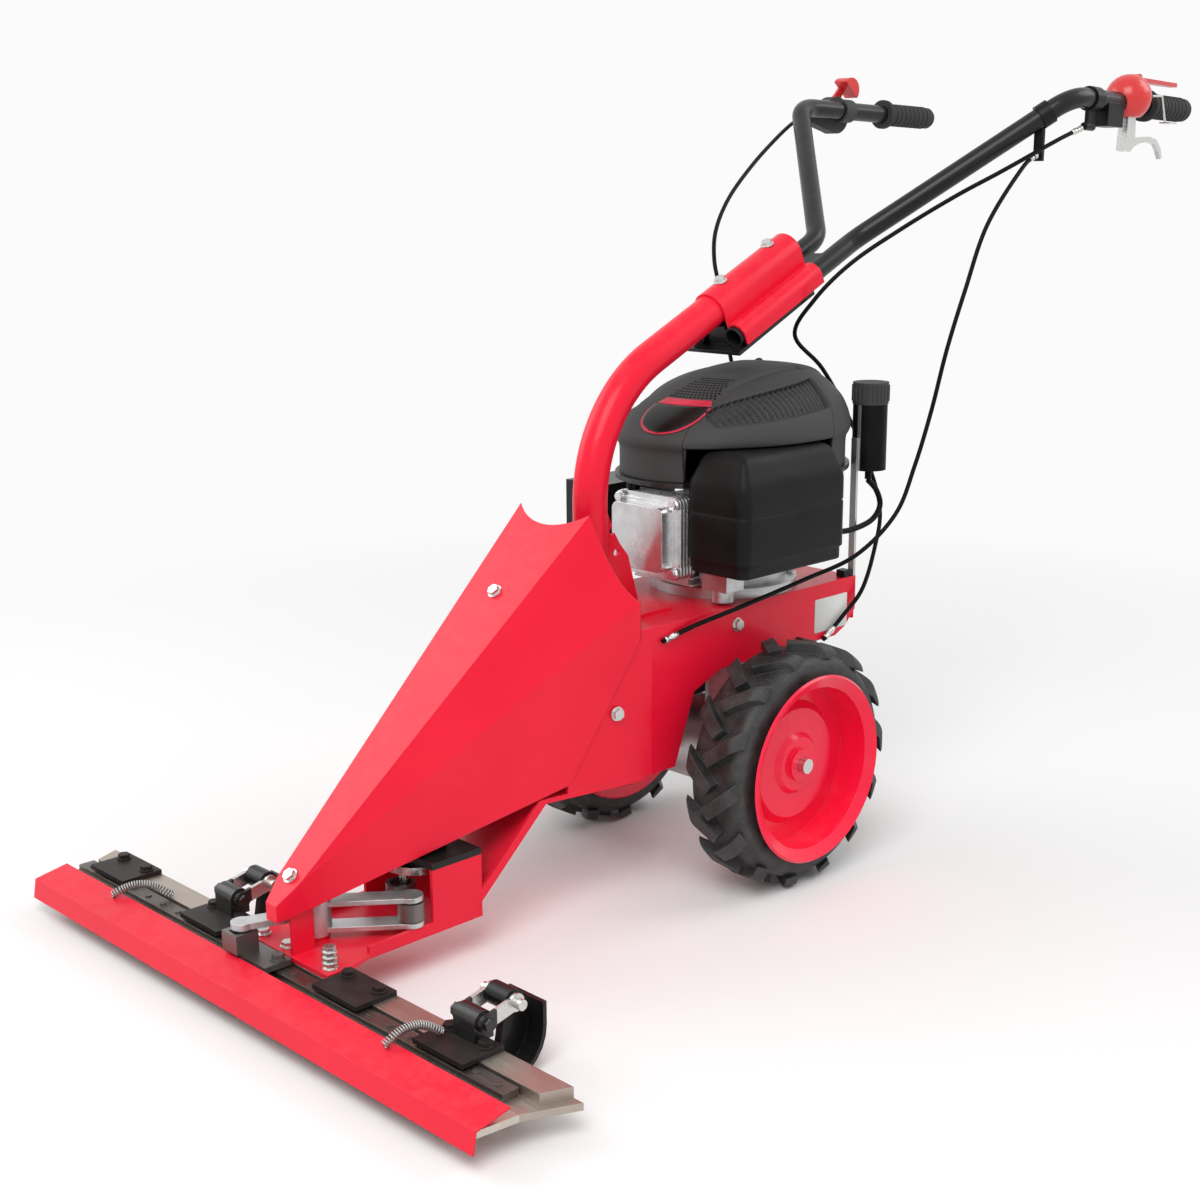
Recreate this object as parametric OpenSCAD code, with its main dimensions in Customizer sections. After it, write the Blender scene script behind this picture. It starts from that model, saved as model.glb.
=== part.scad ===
// Walk-behind sickle bar mower with two driven wheels and a vertical-shaft petrol engine.
// Millimetres, +Z up, -Y to the front, +X to the left of the person who walks behind it.
// The origin lies on the ground, under the middle of the whole length.

/* [Wheels] */
// Diameter of a tyre over its lugs
wheel_d = 328; // [316:1:340]
// Width of a tyre
tyre_w = 84; // [76:1:92]
// Distance between the middles of the two tyres
track_w = 342; // [330:1:370]
// Diameter of a rim's lip
rim_d = 253; // [245:1:260]
// Diameter of the driving axle
axle_d = 20; // [16:1:24]
// Lugs on each side of a tyre
lug_n = 14; // [10:1:16]
// Height of a lug above the tread
lug_h = 14; // [9:1:15]

/* [Cutter bar] */
// Length of the cutter bar from tip to tip
bar_l = 916; // [900:1:960]
// Distance from finger to finger, which is also the stroke of the knife
finger_pitch = 35; // [33:1:36]
// Number of fingers, as far as the bar has room for them
finger_n = 25; // [21:2:25]
// Length of the transport guard
guard_l = 870; // [850:1:890]
// Distance from the axle forward to the rear edge of the bar
bar_reach = 655; // [650:1:670]
// Height of the comb's underside above the ground
bar_z = 30; // [26:1:34]
// Width of a skid shoe
skid_w = 58; // [45:1:65]

/* [Frame] */
// Height of the deck that carries the engine
deck_z = 370; // [364:1:380]
// Width of the frame over its side plates
deck_w = 210; // [200:1:220]
// Distance from the axle back to the end of the frame
deck_rear = 225; // [215:1:240]
// Thickness of the frame's sheet
frame_t = 4; // [3:0.5:5]
// Thickness of the front cover's sheet
cover_t = 2; // [1.5:0.1:2.5]

/* [Column] */
// Outer diameter of the column tube
column_d = 45; // [42:1:48]
// Wall of the column tube
column_wall = 3; // [2:0.5:5]
// Distance from the axle forward to the foot of the column
column_setback = 197; // [190:1:205]
// Slope of the column's upper run, in degrees
column_rise = 25.3; // [22:0.1:28]
// Bend radius of the column
column_bend = 196; // [170:1:210]
// Height at which the column's two straight runs would meet
column_corner_z = 640; // [620:1:660]

/* [Handlebar] */
// Outer diameter of a handlebar tube
tube_d = 28; // [25:1:30]
// Wall of a handlebar tube
tube_wall = 2; // [1.5:0.5:3]
// Distance between the two upper bends
bend_w = 484; // [440:2:520]
// Height of the upper bends
bend_z = 1026; // [980:1:1060]
// Distance between the two grips
grip_w = 466; // [440:2:520]
// Height of the grips' ends
grip_z = 1014; // [980:1:1040]
// Distance from the axle back to the grips' ends
rear_reach = 835; // [800:1:860]
// Length of a grip
grip_l = 125; // [110:1:135]

/* [Engine] */
// Distance from the axle back to the crankshaft
engine_y = 60; // [50:1:70]
// Height of the cowl's top above the deck
cowl_top = 308; // [295:1:320]
// Width of the cowl
cowl_w = 280; // [270:1:290]
// Length of the cowl
cowl_l = 370; // [350:1:380]

/* [Hidden] */
$fn = 64;

// Overrun of every cut past the face that it opens
over = 1;
// Running clearance of a shaft in its bore
run_gap = 0.05;
// Clearance between pieces that move past each other
move_gap = 0.4;
// Clearance between fixed pieces that fit together
fit_gap = 0.1;
// Seam between a tube's bend and its straight run
bend_seam = 0.02;

// Places along the machine, measured from the axle
bar_strip_w = 33;
comb_w = 60;
finger_l = 57;
guard_t = 2;
guard_room = 5;
front_reach = bar_reach + comb_w + finger_l + guard_room + guard_t;
axle_y = (front_reach - rear_reach) / 2;
axle_z = wheel_d / 2;

// Shared moves and shapes
module at_axle() {
    translate([0, axle_y, 0]) children();
}

module both_sides() {
    children();
    mirror([1, 0, 0]) children();
}

module along_x(x = 0) {
    translate([x, 0, 0]) rotate([0, 90, 0]) children();
}

// A side view of (y, z) points, as a plate from x on
module side_plate(points, x, t) {
    translate([x, 0, 0]) rotate([90, 0, 90]) linear_extrude(t) polygon(points);
}

// A plan view of (x, y) points, as a plate from z on
module plan_plate(points, z, t) {
    translate([0, 0, z]) linear_extrude(t) polygon(points);
}

// Points of an outline with its mirror image across x = 0
function mirrored(points) = concat(points, [for (i = [len(points) - 1:-1:0]) [-points[i].x, points[i].y]]);

// Outline of a band of thickness t along a line of flat points
function normal_at(p, i) =
    let (
        a = unit(p[max(i, 1)] - p[max(i, 1) - 1]),
        b = unit(p[min(i + 1, len(p) - 1)] - p[min(i, len(p) - 2)]),
        m = unit(a + b)
    ) [-m.y, m.x] / (m * a);
function band(p, t) = concat(
    [for (i = [0:len(p) - 1]) p[i] + normal_at(p, i) * t / 2],
    [for (i = [len(p) - 1:-1:0]) p[i] - normal_at(p, i) * t / 2]
);

// A bar with wider round ends, from one plan point to another
bar_in_share = 0.23;
module link_bar(p, q, w, z, t) {
    d = q - p;
    translate([p.x, p.y, z]) rotate([0, 0, atan2(d.y, d.x)]) {
        translate([w * bar_in_share, 2 * over - w / 2, 0])
            cube([norm(d) - 2 * w * bar_in_share, w - 4 * over, t]);
        rotate([0, 0, 180]) cylinder(h = t, d = w);
        translate([norm(d), 0, 0]) cylinder(h = t, d = w);
    }
}

// A hexagon bolt head on a washer, seated on z = 0
bolt_head_share = 0.65;
bolt_flats_share = 1.9;
bolt_washer_share = 2.3;
washer_share = 0.2;
module bolt_head(d) {
    cylinder(h = d * washer_share, d = d * bolt_washer_share);
    cylinder(h = d * (washer_share + bolt_head_share), d = d * bolt_flats_share, $fn = 6);
}

// A bolt: head on z = 0 and shank down to -l
module bolt(d, l) {
    bolt_head(d);
    translate([0, 0, -l]) cylinder(h = l + d * washer_share, d = d);
}

// A bolt's hole, h deep
module hole(h, d) {
    cylinder(h = h, d = d + 2 * fit_gap);
}

// Tubes along a bent line
function unit(v) = v / norm(v);
function turn_at(p, i) = acos(unit(p[i] - p[i - 1]) * unit(p[i + 1] - p[i]));
function leg_at(p, i, r) = i == 0 || i == len(p) - 1 ? 0 : r * tan(turn_at(p, i) / 2);

module ring(d, wall) {
    difference() {
        circle(d = d);
        if (wall > 0) circle(d = d - 2 * wall);
    }
}

module tube_run(p, q, d, wall) {
    v = q - p;
    translate(p) rotate([0, acos(v.z / norm(v)), atan2(v.y, v.x)]) linear_extrude(norm(v)) ring(d, wall);
}

module tube_elbow(p, i, r, d, wall) {
    before = unit(p[i] - p[i - 1]);
    after = unit(p[i + 1] - p[i]);
    middle = p[i] + unit(after - before) * r / cos(turn_at(p, i) / 2);
    out = unit(p[i] - before * leg_at(p, i, r) - middle);
    axis = cross(out, before);
    multmatrix([
        [out.x, before.x, axis.x, middle.x],
        [out.y, before.y, axis.y, middle.y],
        [out.z, before.z, axis.z, middle.z],
        [0, 0, 0, 1]
    ]) rotate_extrude(angle = turn_at(p, i)) translate([r, 0]) ring(d, wall);
}

module bent_tube(p, r, d, wall) {
    last = len(p) - 1;
    for (i = [0:last - 1]) {
        v = unit(p[i + 1] - p[i]);
        from = i == 0 ? 0 : leg_at(p, i, r) + bend_seam;
        to = i + 1 == last ? 0 : leg_at(p, i + 1, r) + bend_seam;
        tube_run(p[i] + v * from, p[i + 1] - v * to, d, wall);
    }
    for (i = [1:last - 1]) {
        tube_elbow(p, i, r, d, wall);
        for (k = [i - 1, i + 1]) bend_sleeve(p[i], p[k] - p[i], leg_at(p, i, r), d, wall);
    }
}

// A sleeve inside the wall, which joins a bend to its straight run across a hairline seam
module bend_sleeve(p, v, leg, d, wall) {
    translate(p + unit(v) * leg) rotate([0, acos(v.z / norm(v)), atan2(v.y, v.x)])
        linear_extrude(2 * wall, center = true) ring(d - wall / 2, wall / 2);
}

// Tubes swept along a free route, for cables and springs
function tangent(p, i) = unit(p[min(i + 1, len(p) - 1)] - p[max(i - 1, 0)]);
function side_of(t) = unit(cross(t, abs(t.z) < 0.9 ? [0, 0, 1] : [1, 0, 0]));
function carried(p, i, s) = unit(s - tangent(p, i) * (s * tangent(p, i)));
function sides_of(p, i = 0, s = undef) =
    i == len(p) ? [] :
    let (n = i == 0 ? side_of(tangent(p, 0)) : carried(p, i, s))
    concat([n], sides_of(p, i + 1, n));

module swept(p, d, n) {
    s = sides_of(p);
    rings = [
        for (i = [0:len(p) - 1])
            let (t = tangent(p, i), b = cross(t, s[i]))
            for (k = [0:n - 1]) p[i] + (s[i] * cos(360 * k / n) + b * sin(360 * k / n)) * d / 2
    ];
    walls = [
        for (i = [0:len(p) - 2], k = [0:n - 1])
            let (a = i * n + k, b = i * n + (k + 1) % n)
            each [[a, b + n, b], [a, a + n, b + n]]
    ];
    last = (len(p) - 1) * n;
    caps = [for (k = [1:n - 2]) each [[0, k, k + 1], [last, last + k + 1, last + k]]];
    polyhedron(rings, concat(walls, caps));
}

// A smooth curve through a route's points, in m steps from point to point
function knot(p, i) = p[max(0, min(len(p) - 1, i))];
function curve_at(a, b, c, d, u) =
    (2 * b + (c - a) * u + (2 * a - 5 * b + 4 * c - d) * u * u + (3 * b - a - 3 * c + d) * u * u * u) / 2;
function smooth(p, m) = concat(
    [for (i = [0:len(p) - 2], k = [0:m - 1]) curve_at(knot(p, i - 1), p[i], p[i + 1], knot(p, i + 2), k / m)],
    [p[len(p) - 1]]
);

// Layout of the front cover, whose sides lie flush on the frame
cover_peak = [63, -257, 519];
cover_wing = [112, -165, 432];
cover_tip = [12, -691, 135];
cover_crease_x = 20;
cover_crease_y = 680;
cover_foot = [85, -316, 188];
cover_chin = [22.5, -666, 112];
cover_nose_y = 705;
cover_nose_w = 10;
cover_nose_low = 102;
scallop_r = 114;
scallop_y = 163.5;
cover_bolt_high_y = 360;
cover_bolt_low_y = 676;
cover_slope = atan((cover_peak.z - cover_tip.z) / (cover_peak.y - cover_tip.y));
cover_crease = [cover_crease_x, -cover_crease_y, cover_top_z(cover_crease_y)];
cover_taper = atan((cover_wing.x - cover_crease.x) / (cover_wing.y - cover_crease.y));
cover_back = cover_t / sin(cover_taper);
cover_lift = (cover_back * sin(cover_slope) - cover_t) / cos(cover_slope);
function cover_top_z(y) = cover_tip.z + (-y - cover_tip.y) * tan(cover_slope);
function cover_side_x(y) = cover_wing.x - (y + cover_wing.y) * tan(cover_taper);

// Main frame: deck, side plates and cross members in one weldment
deck_front = 252;
frame_low = 176;
frame_nose_y = 318;
beam_low = 290;
beam_rear_low = 300;
beam_rear_cut = 22;
arch_y = 60;
arch_front_y = 112;
arch_front_z = 270;
arch_foot_y = 148;
plate_nose_z = 212;
plate_top_y = 235;
crank_hole_d = 64;
cross_h = 58;
engine_bolt_d = 6;
engine_bolt_circle = 187;
frame_bolt_y = 30;
frame_bolt_z = 345;
frame_bolt_d = 8;
cover_bolt_d = 8;
side_bolt_y = 247;
side_bolt_z = 268;

frame_taper = tan(cover_taper);
cover_wall = cover_t / cos(cover_taper) + fit_gap;
frame_bend_y = -cover_wing.y + (cover_wing.x - cover_wall - deck_w / 2) / frame_taper;
function frame_half(y) = y < frame_bend_y ? deck_w / 2 : deck_w / 2 - (y - frame_bend_y) * frame_taper;

module frame_deck() {
    outline = mirrored([
        [deck_w / 2 - frame_t / 2, deck_rear - frame_t / 2],
        [deck_w / 2 - frame_t / 2, -frame_bend_y],
        [frame_half(deck_front) - frame_t / 2, -deck_front]
    ]);
    difference() {
        plan_plate(outline, deck_z - frame_t, frame_t);
        translate([0, engine_y, deck_z - frame_t - over]) cylinder(h = frame_t + 2 * over, d = crank_hole_d);
        for (a = [45:90:315])
            translate([0, engine_y, deck_z - frame_t - over]) rotate([0, 0, a])
                translate([engine_bolt_circle / 2, 0, 0])
                    cylinder(h = frame_t + 2 * over, d = engine_bolt_d + 2 * fit_gap);
    }
}

module side_bolt_hole() {
    translate([cover_side_x(side_bolt_y), -side_bolt_y, side_bolt_z]) rotate([0, 0, -cover_taper])
        along_x(-2 * cover_bolt_l) hole(3 * cover_bolt_l, cover_bolt_d);
}

module frame_side() {
    profile = [
        [deck_rear, deck_z], [-plate_top_y, deck_z], [-frame_nose_y, plate_nose_z],
        [-frame_nose_y, frame_low], [-arch_foot_y, frame_low], [-arch_front_y, arch_front_z],
        [-arch_y, beam_low], [deck_rear - 2 * beam_rear_cut, beam_low],
        [deck_rear - beam_rear_cut, beam_rear_low], [deck_rear, beam_rear_low + beam_rear_cut]
    ];
    slant_t = frame_t / cos(cover_taper);
    wall = [
        [deck_w / 2, deck_rear], [deck_w / 2, -frame_bend_y], [frame_half(frame_nose_y), -frame_nose_y],
        [frame_half(frame_nose_y) - slant_t, -frame_nose_y],
        [deck_w / 2 - frame_t, -frame_bend_y + (slant_t - frame_t) / frame_taper],
        [deck_w / 2 - frame_t, deck_rear]
    ];
    difference() {
        intersection() {
            side_plate(profile, 0, deck_w);
            plan_plate(wall, frame_low - over, deck_z - frame_low + 2 * over);
        }
        translate([0, -frame_bolt_y, frame_bolt_z]) along_x(deck_w / 2 - frame_t - over)
            cylinder(h = frame_t + 2 * over, d = frame_bolt_d + 2 * fit_gap);
        side_bolt_hole();
    }
}

module cross_plate(y) {
    half = frame_half(-y) - frame_t / 2;
    translate([-half, y, deck_z - frame_t - cross_h]) cube([2 * half, frame_t, cross_h]);
}

module main_frame() {
    color("crimson") at_axle() {
        frame_deck();
        both_sides() frame_side();
        cross_plate(deck_rear - frame_t);
        cross_plate(-column_setback);
    }
}

// Front base: the pan that carries the cutter bar, the rocker and the crank
base_t = 6;
base_w = 136;
base_front_w = 160;
base_step_y = 470;
base_rear_y = 350;
base_tail_y = 200;
base_rim_h = 9;
base_rim_front = 620;
ear_l = 76;
ear_h = 74;
rib_t = 5;
post_x = 12;
post_y = 686;
post_l = 30;
tab_t = 4;
bar_t = 8;
knife_t = 12;
bar_top = bar_z + bar_t + knife_t;
base_top = bar_top + base_t;
base_front_y = bar_reach + bar_strip_w;

function base_outline(inset) = mirrored([
    [base_front_w / 2 - inset, -base_front_y], [base_front_w / 2 - inset, -bar_reach],
    [base_w / 2 - inset, -base_rim_front], [base_w / 2 - inset, -base_step_y],
    [frame_half(base_rear_y) - inset, -base_rear_y], [frame_half(base_tail_y) - inset, -base_tail_y]
]);

// Side view of a layer of the pan from one height above its sheet to another
function base_layer(low, high) = [
    [-base_front_y, base_top + high], [-base_step_y, base_top + high], [-base_rear_y, frame_low + high],
    [-base_tail_y, frame_low + high], [-base_tail_y, frame_low + low], [-base_rear_y, frame_low + low],
    [-base_step_y, base_top + low], [-base_front_y, base_top + low]
];

// Layout of the rocker and the crank in plan
rocker_x = -15;
rocker_y = 636;
rocker_arm = 85.4;
rocker_swing = 24;
rocker_lead = 20.6;
fork_x = 70;
fork_y = 88;
rod_l = 60;
crank_throw = 30;
crank_swing = 90;
crank_offset = 24;
rocker_at = [rocker_x, -rocker_y];
tip_at = rocker_at + rocker_arm * [-sin(rocker_lead), -cos(rocker_lead)];
fork_at = rocker_at + [fork_x, fork_y];
fork_mid_a = atan2(fork_y, fork_x) + rocker_swing / 2;
fork_r = norm([fork_x, fork_y]);
rod_way = [cos(fork_mid_a + 90), sin(fork_mid_a + 90)];
crank_way = [rod_way.y, -rod_way.x];
fork_mid = rocker_at + fork_r * [cos(fork_mid_a), sin(fork_mid_a)];
crank_at = fork_mid + rod_l * rod_way + crank_offset * crank_way;
pin_at = crank_at - crank_throw * (cos(crank_swing / 2) * crank_way + sin(crank_swing / 2) * rod_way);
rod_end = fork_at + rod_l * rod_way;

pivot_d = 16;
pivot_boss_d = 34;
pivot_boss_h = 6;
base_bolt_d = 8;
cover_bolt_l = 14;
base_bolt_x = 66;
base_bolt_in = 14;
base_bolt_mid_x = 16;
base_bolt_places = [
    for (x = [-base_bolt_x, -base_bolt_mid_x, base_bolt_x]) [x, -base_front_y + base_bolt_in]
];

post_outline = [
    [-post_y, base_top - base_t], [-post_y + post_l, base_top - base_t],
    [-post_y + post_l, cover_top_z(post_y - post_l) - post_l / 5],
    [-post_y, cover_top_z(post_y) - post_l / 5]
];

module front_base() {
    color("crimson") at_axle() difference() {
        union() {
            intersection() {
                plan_plate(base_outline(0), 0, frame_low + base_rim_h);
                side_plate(base_layer(-base_t, 0), -deck_w / 2, deck_w);
            }
            intersection() {
                difference() {
                    plan_plate(base_outline(0), 0, frame_low + base_rim_h);
                    plan_plate(base_outline(rib_t), -over, frame_low + base_rim_h + 2 * over);
                }
                side_plate(base_layer(-base_t, base_rim_h), -deck_w / 2, deck_w);
                translate([-deck_w / 2, -base_rim_front, 0])
                    cube([deck_w, base_rim_front - base_rear_y, frame_low]);
            }
            both_sides() translate([base_w / 2 - rib_t, crank_at.y - ear_l / 2, base_top - base_t])
                cube([rib_t, ear_l, ear_h + base_t]);
            translate([rocker_at.x, rocker_at.y, base_top - base_t])
                cylinder(h = base_t + pivot_boss_h, d = pivot_boss_d);
            side_plate(post_outline, post_x - rib_t, rib_t);
            translate([0, -cover_bolt_low_y, cover_top_z(cover_bolt_low_y)]) rotate([cover_slope, 0, 0])
                translate([-post_x + rib_t, -cover_bolt_d, -cover_t - fit_gap - tab_t])
                    cube([2 * post_x - rib_t, 2 * cover_bolt_d, tab_t]);
        }
        translate([rocker_at.x, rocker_at.y, 0]) cylinder(h = frame_low, d = pivot_d + 2 * fit_gap);
        translate([0, -cover_bolt_low_y, cover_top_z(cover_bolt_low_y)]) rotate([cover_slope, 0, 0])
            translate([0, 0, -2 * cover_bolt_l]) hole(2 * cover_bolt_l, cover_bolt_d);
        for (p = base_bolt_places) translate([p.x, p.y, 0]) hole(frame_low, base_bolt_d);
    }
}

// Front cover: a sloping nose of folded sheet, open below
module cover_corners(drop) {
    half = [
        cover_peak, cover_wing, cover_tip, cover_crease, cover_foot - [0, 0, drop], cover_chin - [0, 0, drop],
        [cover_nose_w, -cover_nose_y, cover_top_z(cover_nose_y)],
        [cover_nose_w, -cover_nose_y, cover_nose_low - drop]
    ];
    points = [for (p = half, s = [-1, 1]) [s * p.x, p.y, p.z]];
    hull() polyhedron(points, [[for (i = [0:len(points) - 1]) i]]);
}

module front_cover() {
    color("crimson") at_axle() difference() {
        cover_corners(0);
        translate([0, cover_back, cover_lift]) cover_corners(cover_nose_y);
        translate([0, -scallop_y, 0]) cylinder(h = 2 * cover_peak.z, r = scallop_r);
        for (y = [cover_bolt_high_y, cover_bolt_low_y])
            translate([0, -y, cover_top_z(y)]) rotate([cover_slope, 0, 0])
                translate([0, 0, -cover_bolt_d]) hole(2 * cover_bolt_d, cover_bolt_d);
        both_sides() side_bolt_hole();
    }
}

// Bolts of the front cover, the frame's sides and the pan
nut_stack = 3;
module frame_bolts() {
    color("silver") at_axle() {
        for (y = [cover_bolt_high_y, cover_bolt_low_y])
            translate([0, -y, cover_top_z(y)]) rotate([cover_slope, 0, 0]) bolt(cover_bolt_d, cover_bolt_l);
        both_sides() {
            translate([cover_side_x(side_bolt_y), -side_bolt_y, side_bolt_z]) rotate([0, 0, -cover_taper])
                along_x() bolt(cover_bolt_d, cover_bolt_l);
            translate([deck_w / 2, -frame_bolt_y, frame_bolt_z]) along_x() bolt(frame_bolt_d, cover_bolt_l);
        }
        for (a = [45:90:315]) translate([0, engine_y, deck_z + flange_t]) rotate([0, 0, a])
            translate([engine_bolt_circle / 2, 0, 0]) bolt(engine_bolt_d, flange_t + frame_t);
        for (p = base_bolt_places) translate([p.x, p.y, base_top]) {
            bolt(base_bolt_d, base_t + bar_top - bar_z);
            if (p.x > 0) for (k = [1:nut_stack])
                translate([0, 0, k * base_bolt_d * (washer_share + bolt_head_share)]) bolt_head(base_bolt_d);
        }
    }
}

// Column: a bent tube with a drilled gusset at its foot
column_run = 424;
clamp_l = 175;
gusset_t = 5;
gusset_h = 175;
gusset_l = 66;
gusset_r = 150;
gusset_hole_d = 10;
gusset_hole_in = 11;
gusset_hole_shares = [0.75, 0.6, 0.43];
foot_t = 5;
foot_l = 66;
foot_w = 120;
clamp_bolt_d = 8;
clamp_bolt_shares = [0.2, 0.8];
column_way = [0, cos(column_rise), sin(column_rise)];
column_down = [0, sin(column_rise), -cos(column_rise)];
column_corner = [0, -column_setback, column_corner_z];
clamp_at = column_corner + column_way * (column_run - clamp_l);

// The clamp's own frame: x to the left, y away from the column's top, z up along the column
module in_clamp() {
    translate(clamp_at) rotate([column_rise - 90, 0, 0]) children();
}

module column() {
    points = [
        [0, -column_setback, deck_z + foot_t],
        column_corner,
        column_corner + column_way * column_run
    ];
    back = -column_setback + column_d / 2 - column_wall;
    gusset = concat(
        [[back, deck_z + foot_t], [back, deck_z + gusset_h]],
        [
            for (a = [0:9:45])
                [back + column_wall + gusset_r * (1 - cos(a)), deck_z + gusset_h - gusset_r * sin(a)]
        ],
        [[back + gusset_l, deck_z + foot_t]]
    );
    color("crimson") at_axle() {
        difference() {
            bent_tube(points, column_bend, column_d, column_wall);
            in_clamp() for (k = clamp_bolt_shares) translate([0, column_d, k * clamp_l]) rotate([90, 0, 0])
                cylinder(h = 2 * column_d, d = clamp_bolt_d + 2 * fit_gap);
        }
        difference() {
            side_plate(gusset, -gusset_t / 2, gusset_t);
            translate([0, -column_setback, deck_z]) cylinder(h = gusset_h, d = column_d - column_wall);
            for (k = gusset_hole_shares) translate([0, back + gusset_hole_in / k, deck_z + k * gusset_h])
                along_x(-gusset_t) cylinder(h = 2 * gusset_t, d = gusset_hole_d);
        }
        translate([-foot_w / 2, -column_setback - column_d / 2, deck_z])
            cube([foot_w, column_d + foot_l, foot_t]);
    }
}

// Clamp: a pressed saddle over the column and both handlebar tubes, a plate under them, and two bolts
tube_x = 34;
tube_drop = 35;
saddle_t = 3;
saddle_lip = 12;
plate_t = 5;
plate_in = 4;
plate_low = 18;
block_w = 34;

module saddle_shape(grow, depth) {
    half = column_d / 2 + grow;
    circle(r = half);
    translate([-half, 0]) square([2 * half, depth]);
    for (s = [-1, 1]) translate([s * tube_x, tube_drop]) {
        circle(d = tube_d + 2 * grow);
        translate([-tube_d / 2 - grow, 0]) square([tube_d + 2 * grow, depth - tube_drop]);
    }
}

module clamp_saddle() {
    color("crimson") at_axle() in_clamp() difference() {
        linear_extrude(clamp_l) intersection() {
            difference() {
                saddle_shape(fit_gap + saddle_t, tube_drop + saddle_lip);
                saddle_shape(fit_gap, tube_drop + saddle_lip + over);
            }
            translate([-deck_w / 2, saddle_lip + tube_drop - deck_w]) square(deck_w);
        }
        for (k = clamp_bolt_shares) translate([0, 0, k * clamp_l]) rotate([90, 0, 0])
            cylinder(h = column_d, d = clamp_bolt_d + 2 * fit_gap);
    }
}

module clamp_plate() {
    top = tube_drop + tube_d / 2 + fit_gap;
    half = tube_x + tube_d / 2;
    color([0.12, 0.12, 0.12]) at_axle() in_clamp() difference() {
        union() {
            translate([-half, top, -plate_low]) cube([2 * half, plate_t, clamp_l - plate_in]);
            translate([-block_w / 2, column_d / 2 + fit_gap, 0])
                cube([block_w, top - column_d / 2 + plate_t / 2, clamp_l - plate_in - plate_low]);
        }
        for (k = clamp_bolt_shares) translate([0, 2 * top, k * clamp_l]) rotate([90, 0, 0])
            cylinder(h = 2 * top, d = clamp_bolt_d + 2 * fit_gap);
    }
}

module clamp_bolts() {
    grip = column_d / 2 + saddle_t + fit_gap;
    low = tube_drop + tube_d / 2 + fit_gap + plate_t;
    color("silver") at_axle() in_clamp() for (k = clamp_bolt_shares) translate([0, 0, k * clamp_l]) {
        translate([0, -grip, 0]) rotate([90, 0, 0]) bolt(clamp_bolt_d, grip + low);
        translate([0, low, 0]) rotate([-90, 0, 0]) bolt_head(clamp_bolt_d);
    }
}

// Handlebar: two bent tubes, a tie plate between them and a grip on each
tube_bend = 60;
tube_in = 6;
tube_straight = 278;
bend_back = 331;
bend_y = rear_reach - bend_back;
grip_d = 34;
grip_cap = 5;
grip_flange_d = 46;
grip_flange_t = 7;
grip_rib_n = 9;
grip_rib_h = 1;
grip_rib_t = 4;
tie_t = 4;
tie_l = 66;
tie_notch = 30;

function tube_points(s) = let (base = clamp_at + column_down * tube_drop + [s * tube_x, 0, 0]) [
    base - column_way * tube_in,
    base + column_way * tube_straight,
    [s * bend_w / 2, bend_y, bend_z],
    grip_end(s) - grip_way(s) * grip_cap
];
function grip_end(s) = [s * grip_w / 2, rear_reach, grip_z];
function grip_way(s) = unit(grip_end(s) - [s * bend_w / 2, bend_y, bend_z]);

// A point of the tube's last run, measured forward from the end of the grip
function on_grip_run(s, back) = grip_end(s) - grip_way(s) * back;

// Frame on the last run: z back along the tube, y about level, x about down
module on_tube(s, back) {
    v = grip_way(s);
    translate(on_grip_run(s, back)) rotate([0, acos(v.z), atan2(v.y, v.x)]) children();
}

module handlebar(s) {
    color([0.12, 0.12, 0.12]) at_axle() bent_tube(tube_points(s), tube_bend, tube_d, tube_wall);
}

module handlebar_left() {
    handlebar(1);
}

module handlebar_right() {
    handlebar(-1);
}

module handlebar_tie() {
    half = tube_x - tube_d / 2 - fit_gap;
    color([0.2, 0.2, 0.2]) at_axle() in_clamp() difference() {
        translate([-half, tube_drop - tie_t / 2, clamp_l + plate_in]) cube([2 * half, tie_t, tie_l]);
        translate([0, tube_drop, clamp_l + plate_in + tie_l + tie_notch / 2]) rotate([90, 0, 0])
            cylinder(h = 2 * tie_t, d = tie_notch * 2, center = true);
    }
}

module grips() {
    color([0.1, 0.1, 0.1]) at_axle() for (s = [-1, 1]) on_tube(s, grip_l) difference() {
        union() {
            cylinder(h = grip_l - grip_cap, d = grip_d);
            translate([0, 0, grip_l - grip_cap]) cylinder(h = grip_cap, d1 = grip_d, d2 = grip_d - grip_cap);
            cylinder(h = grip_flange_t, d = grip_flange_d);
            for (k = [1:grip_rib_n]) translate([0, 0, k * grip_l / (grip_rib_n + 2)])
                cylinder(h = grip_rib_t, d = grip_d + 2 * grip_rib_h);
        }
        translate([0, 0, -over]) cylinder(h = grip_l - grip_cap + over, d = tube_d + 2 * fit_gap);
    }
}

// Engine: crankcase with a finned cylinder that lies towards the front
flange_d = 204;
flange_t = 14;
case_d = 172;
case_h = 32;
core_d = 112;
barrel_w = 92;
barrel_front = 62;
barrel_low = 22;
barrel_h = 108;
fin_n = 11;
fin_t = 3;
fin_out = 7;
fin_l = 92;
fin_w = barrel_w + 2 * fin_out;
blower_z = 158;
blower_t = 6;
cowl_back = 20;
cowl_wall = 3;
shaft_d = 22;
filter_low = [60, -85, 50];
filter_size = [104, 210, 158];
filter_room = 2;
oval_n = 48;
function oval(a, b) = [for (k = [0:oval_n - 1]) [a * cos(360 * k / oval_n), b * sin(360 * k / oval_n)]];

// The engine's own frame: origin on the deck, under the crankshaft
module at_engine() {
    at_axle() translate([0, engine_y, deck_z]) children();
}

// Space kept free for the air filter
module filter_pocket(room) {
    translate([filter_low.x, filter_low.y - engine_y, filter_low.z] - room * [1, 1, 1])
        cube(filter_size + 2 * room * [1, 1, 1] + [cowl_w, 0, 0]);
}

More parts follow.
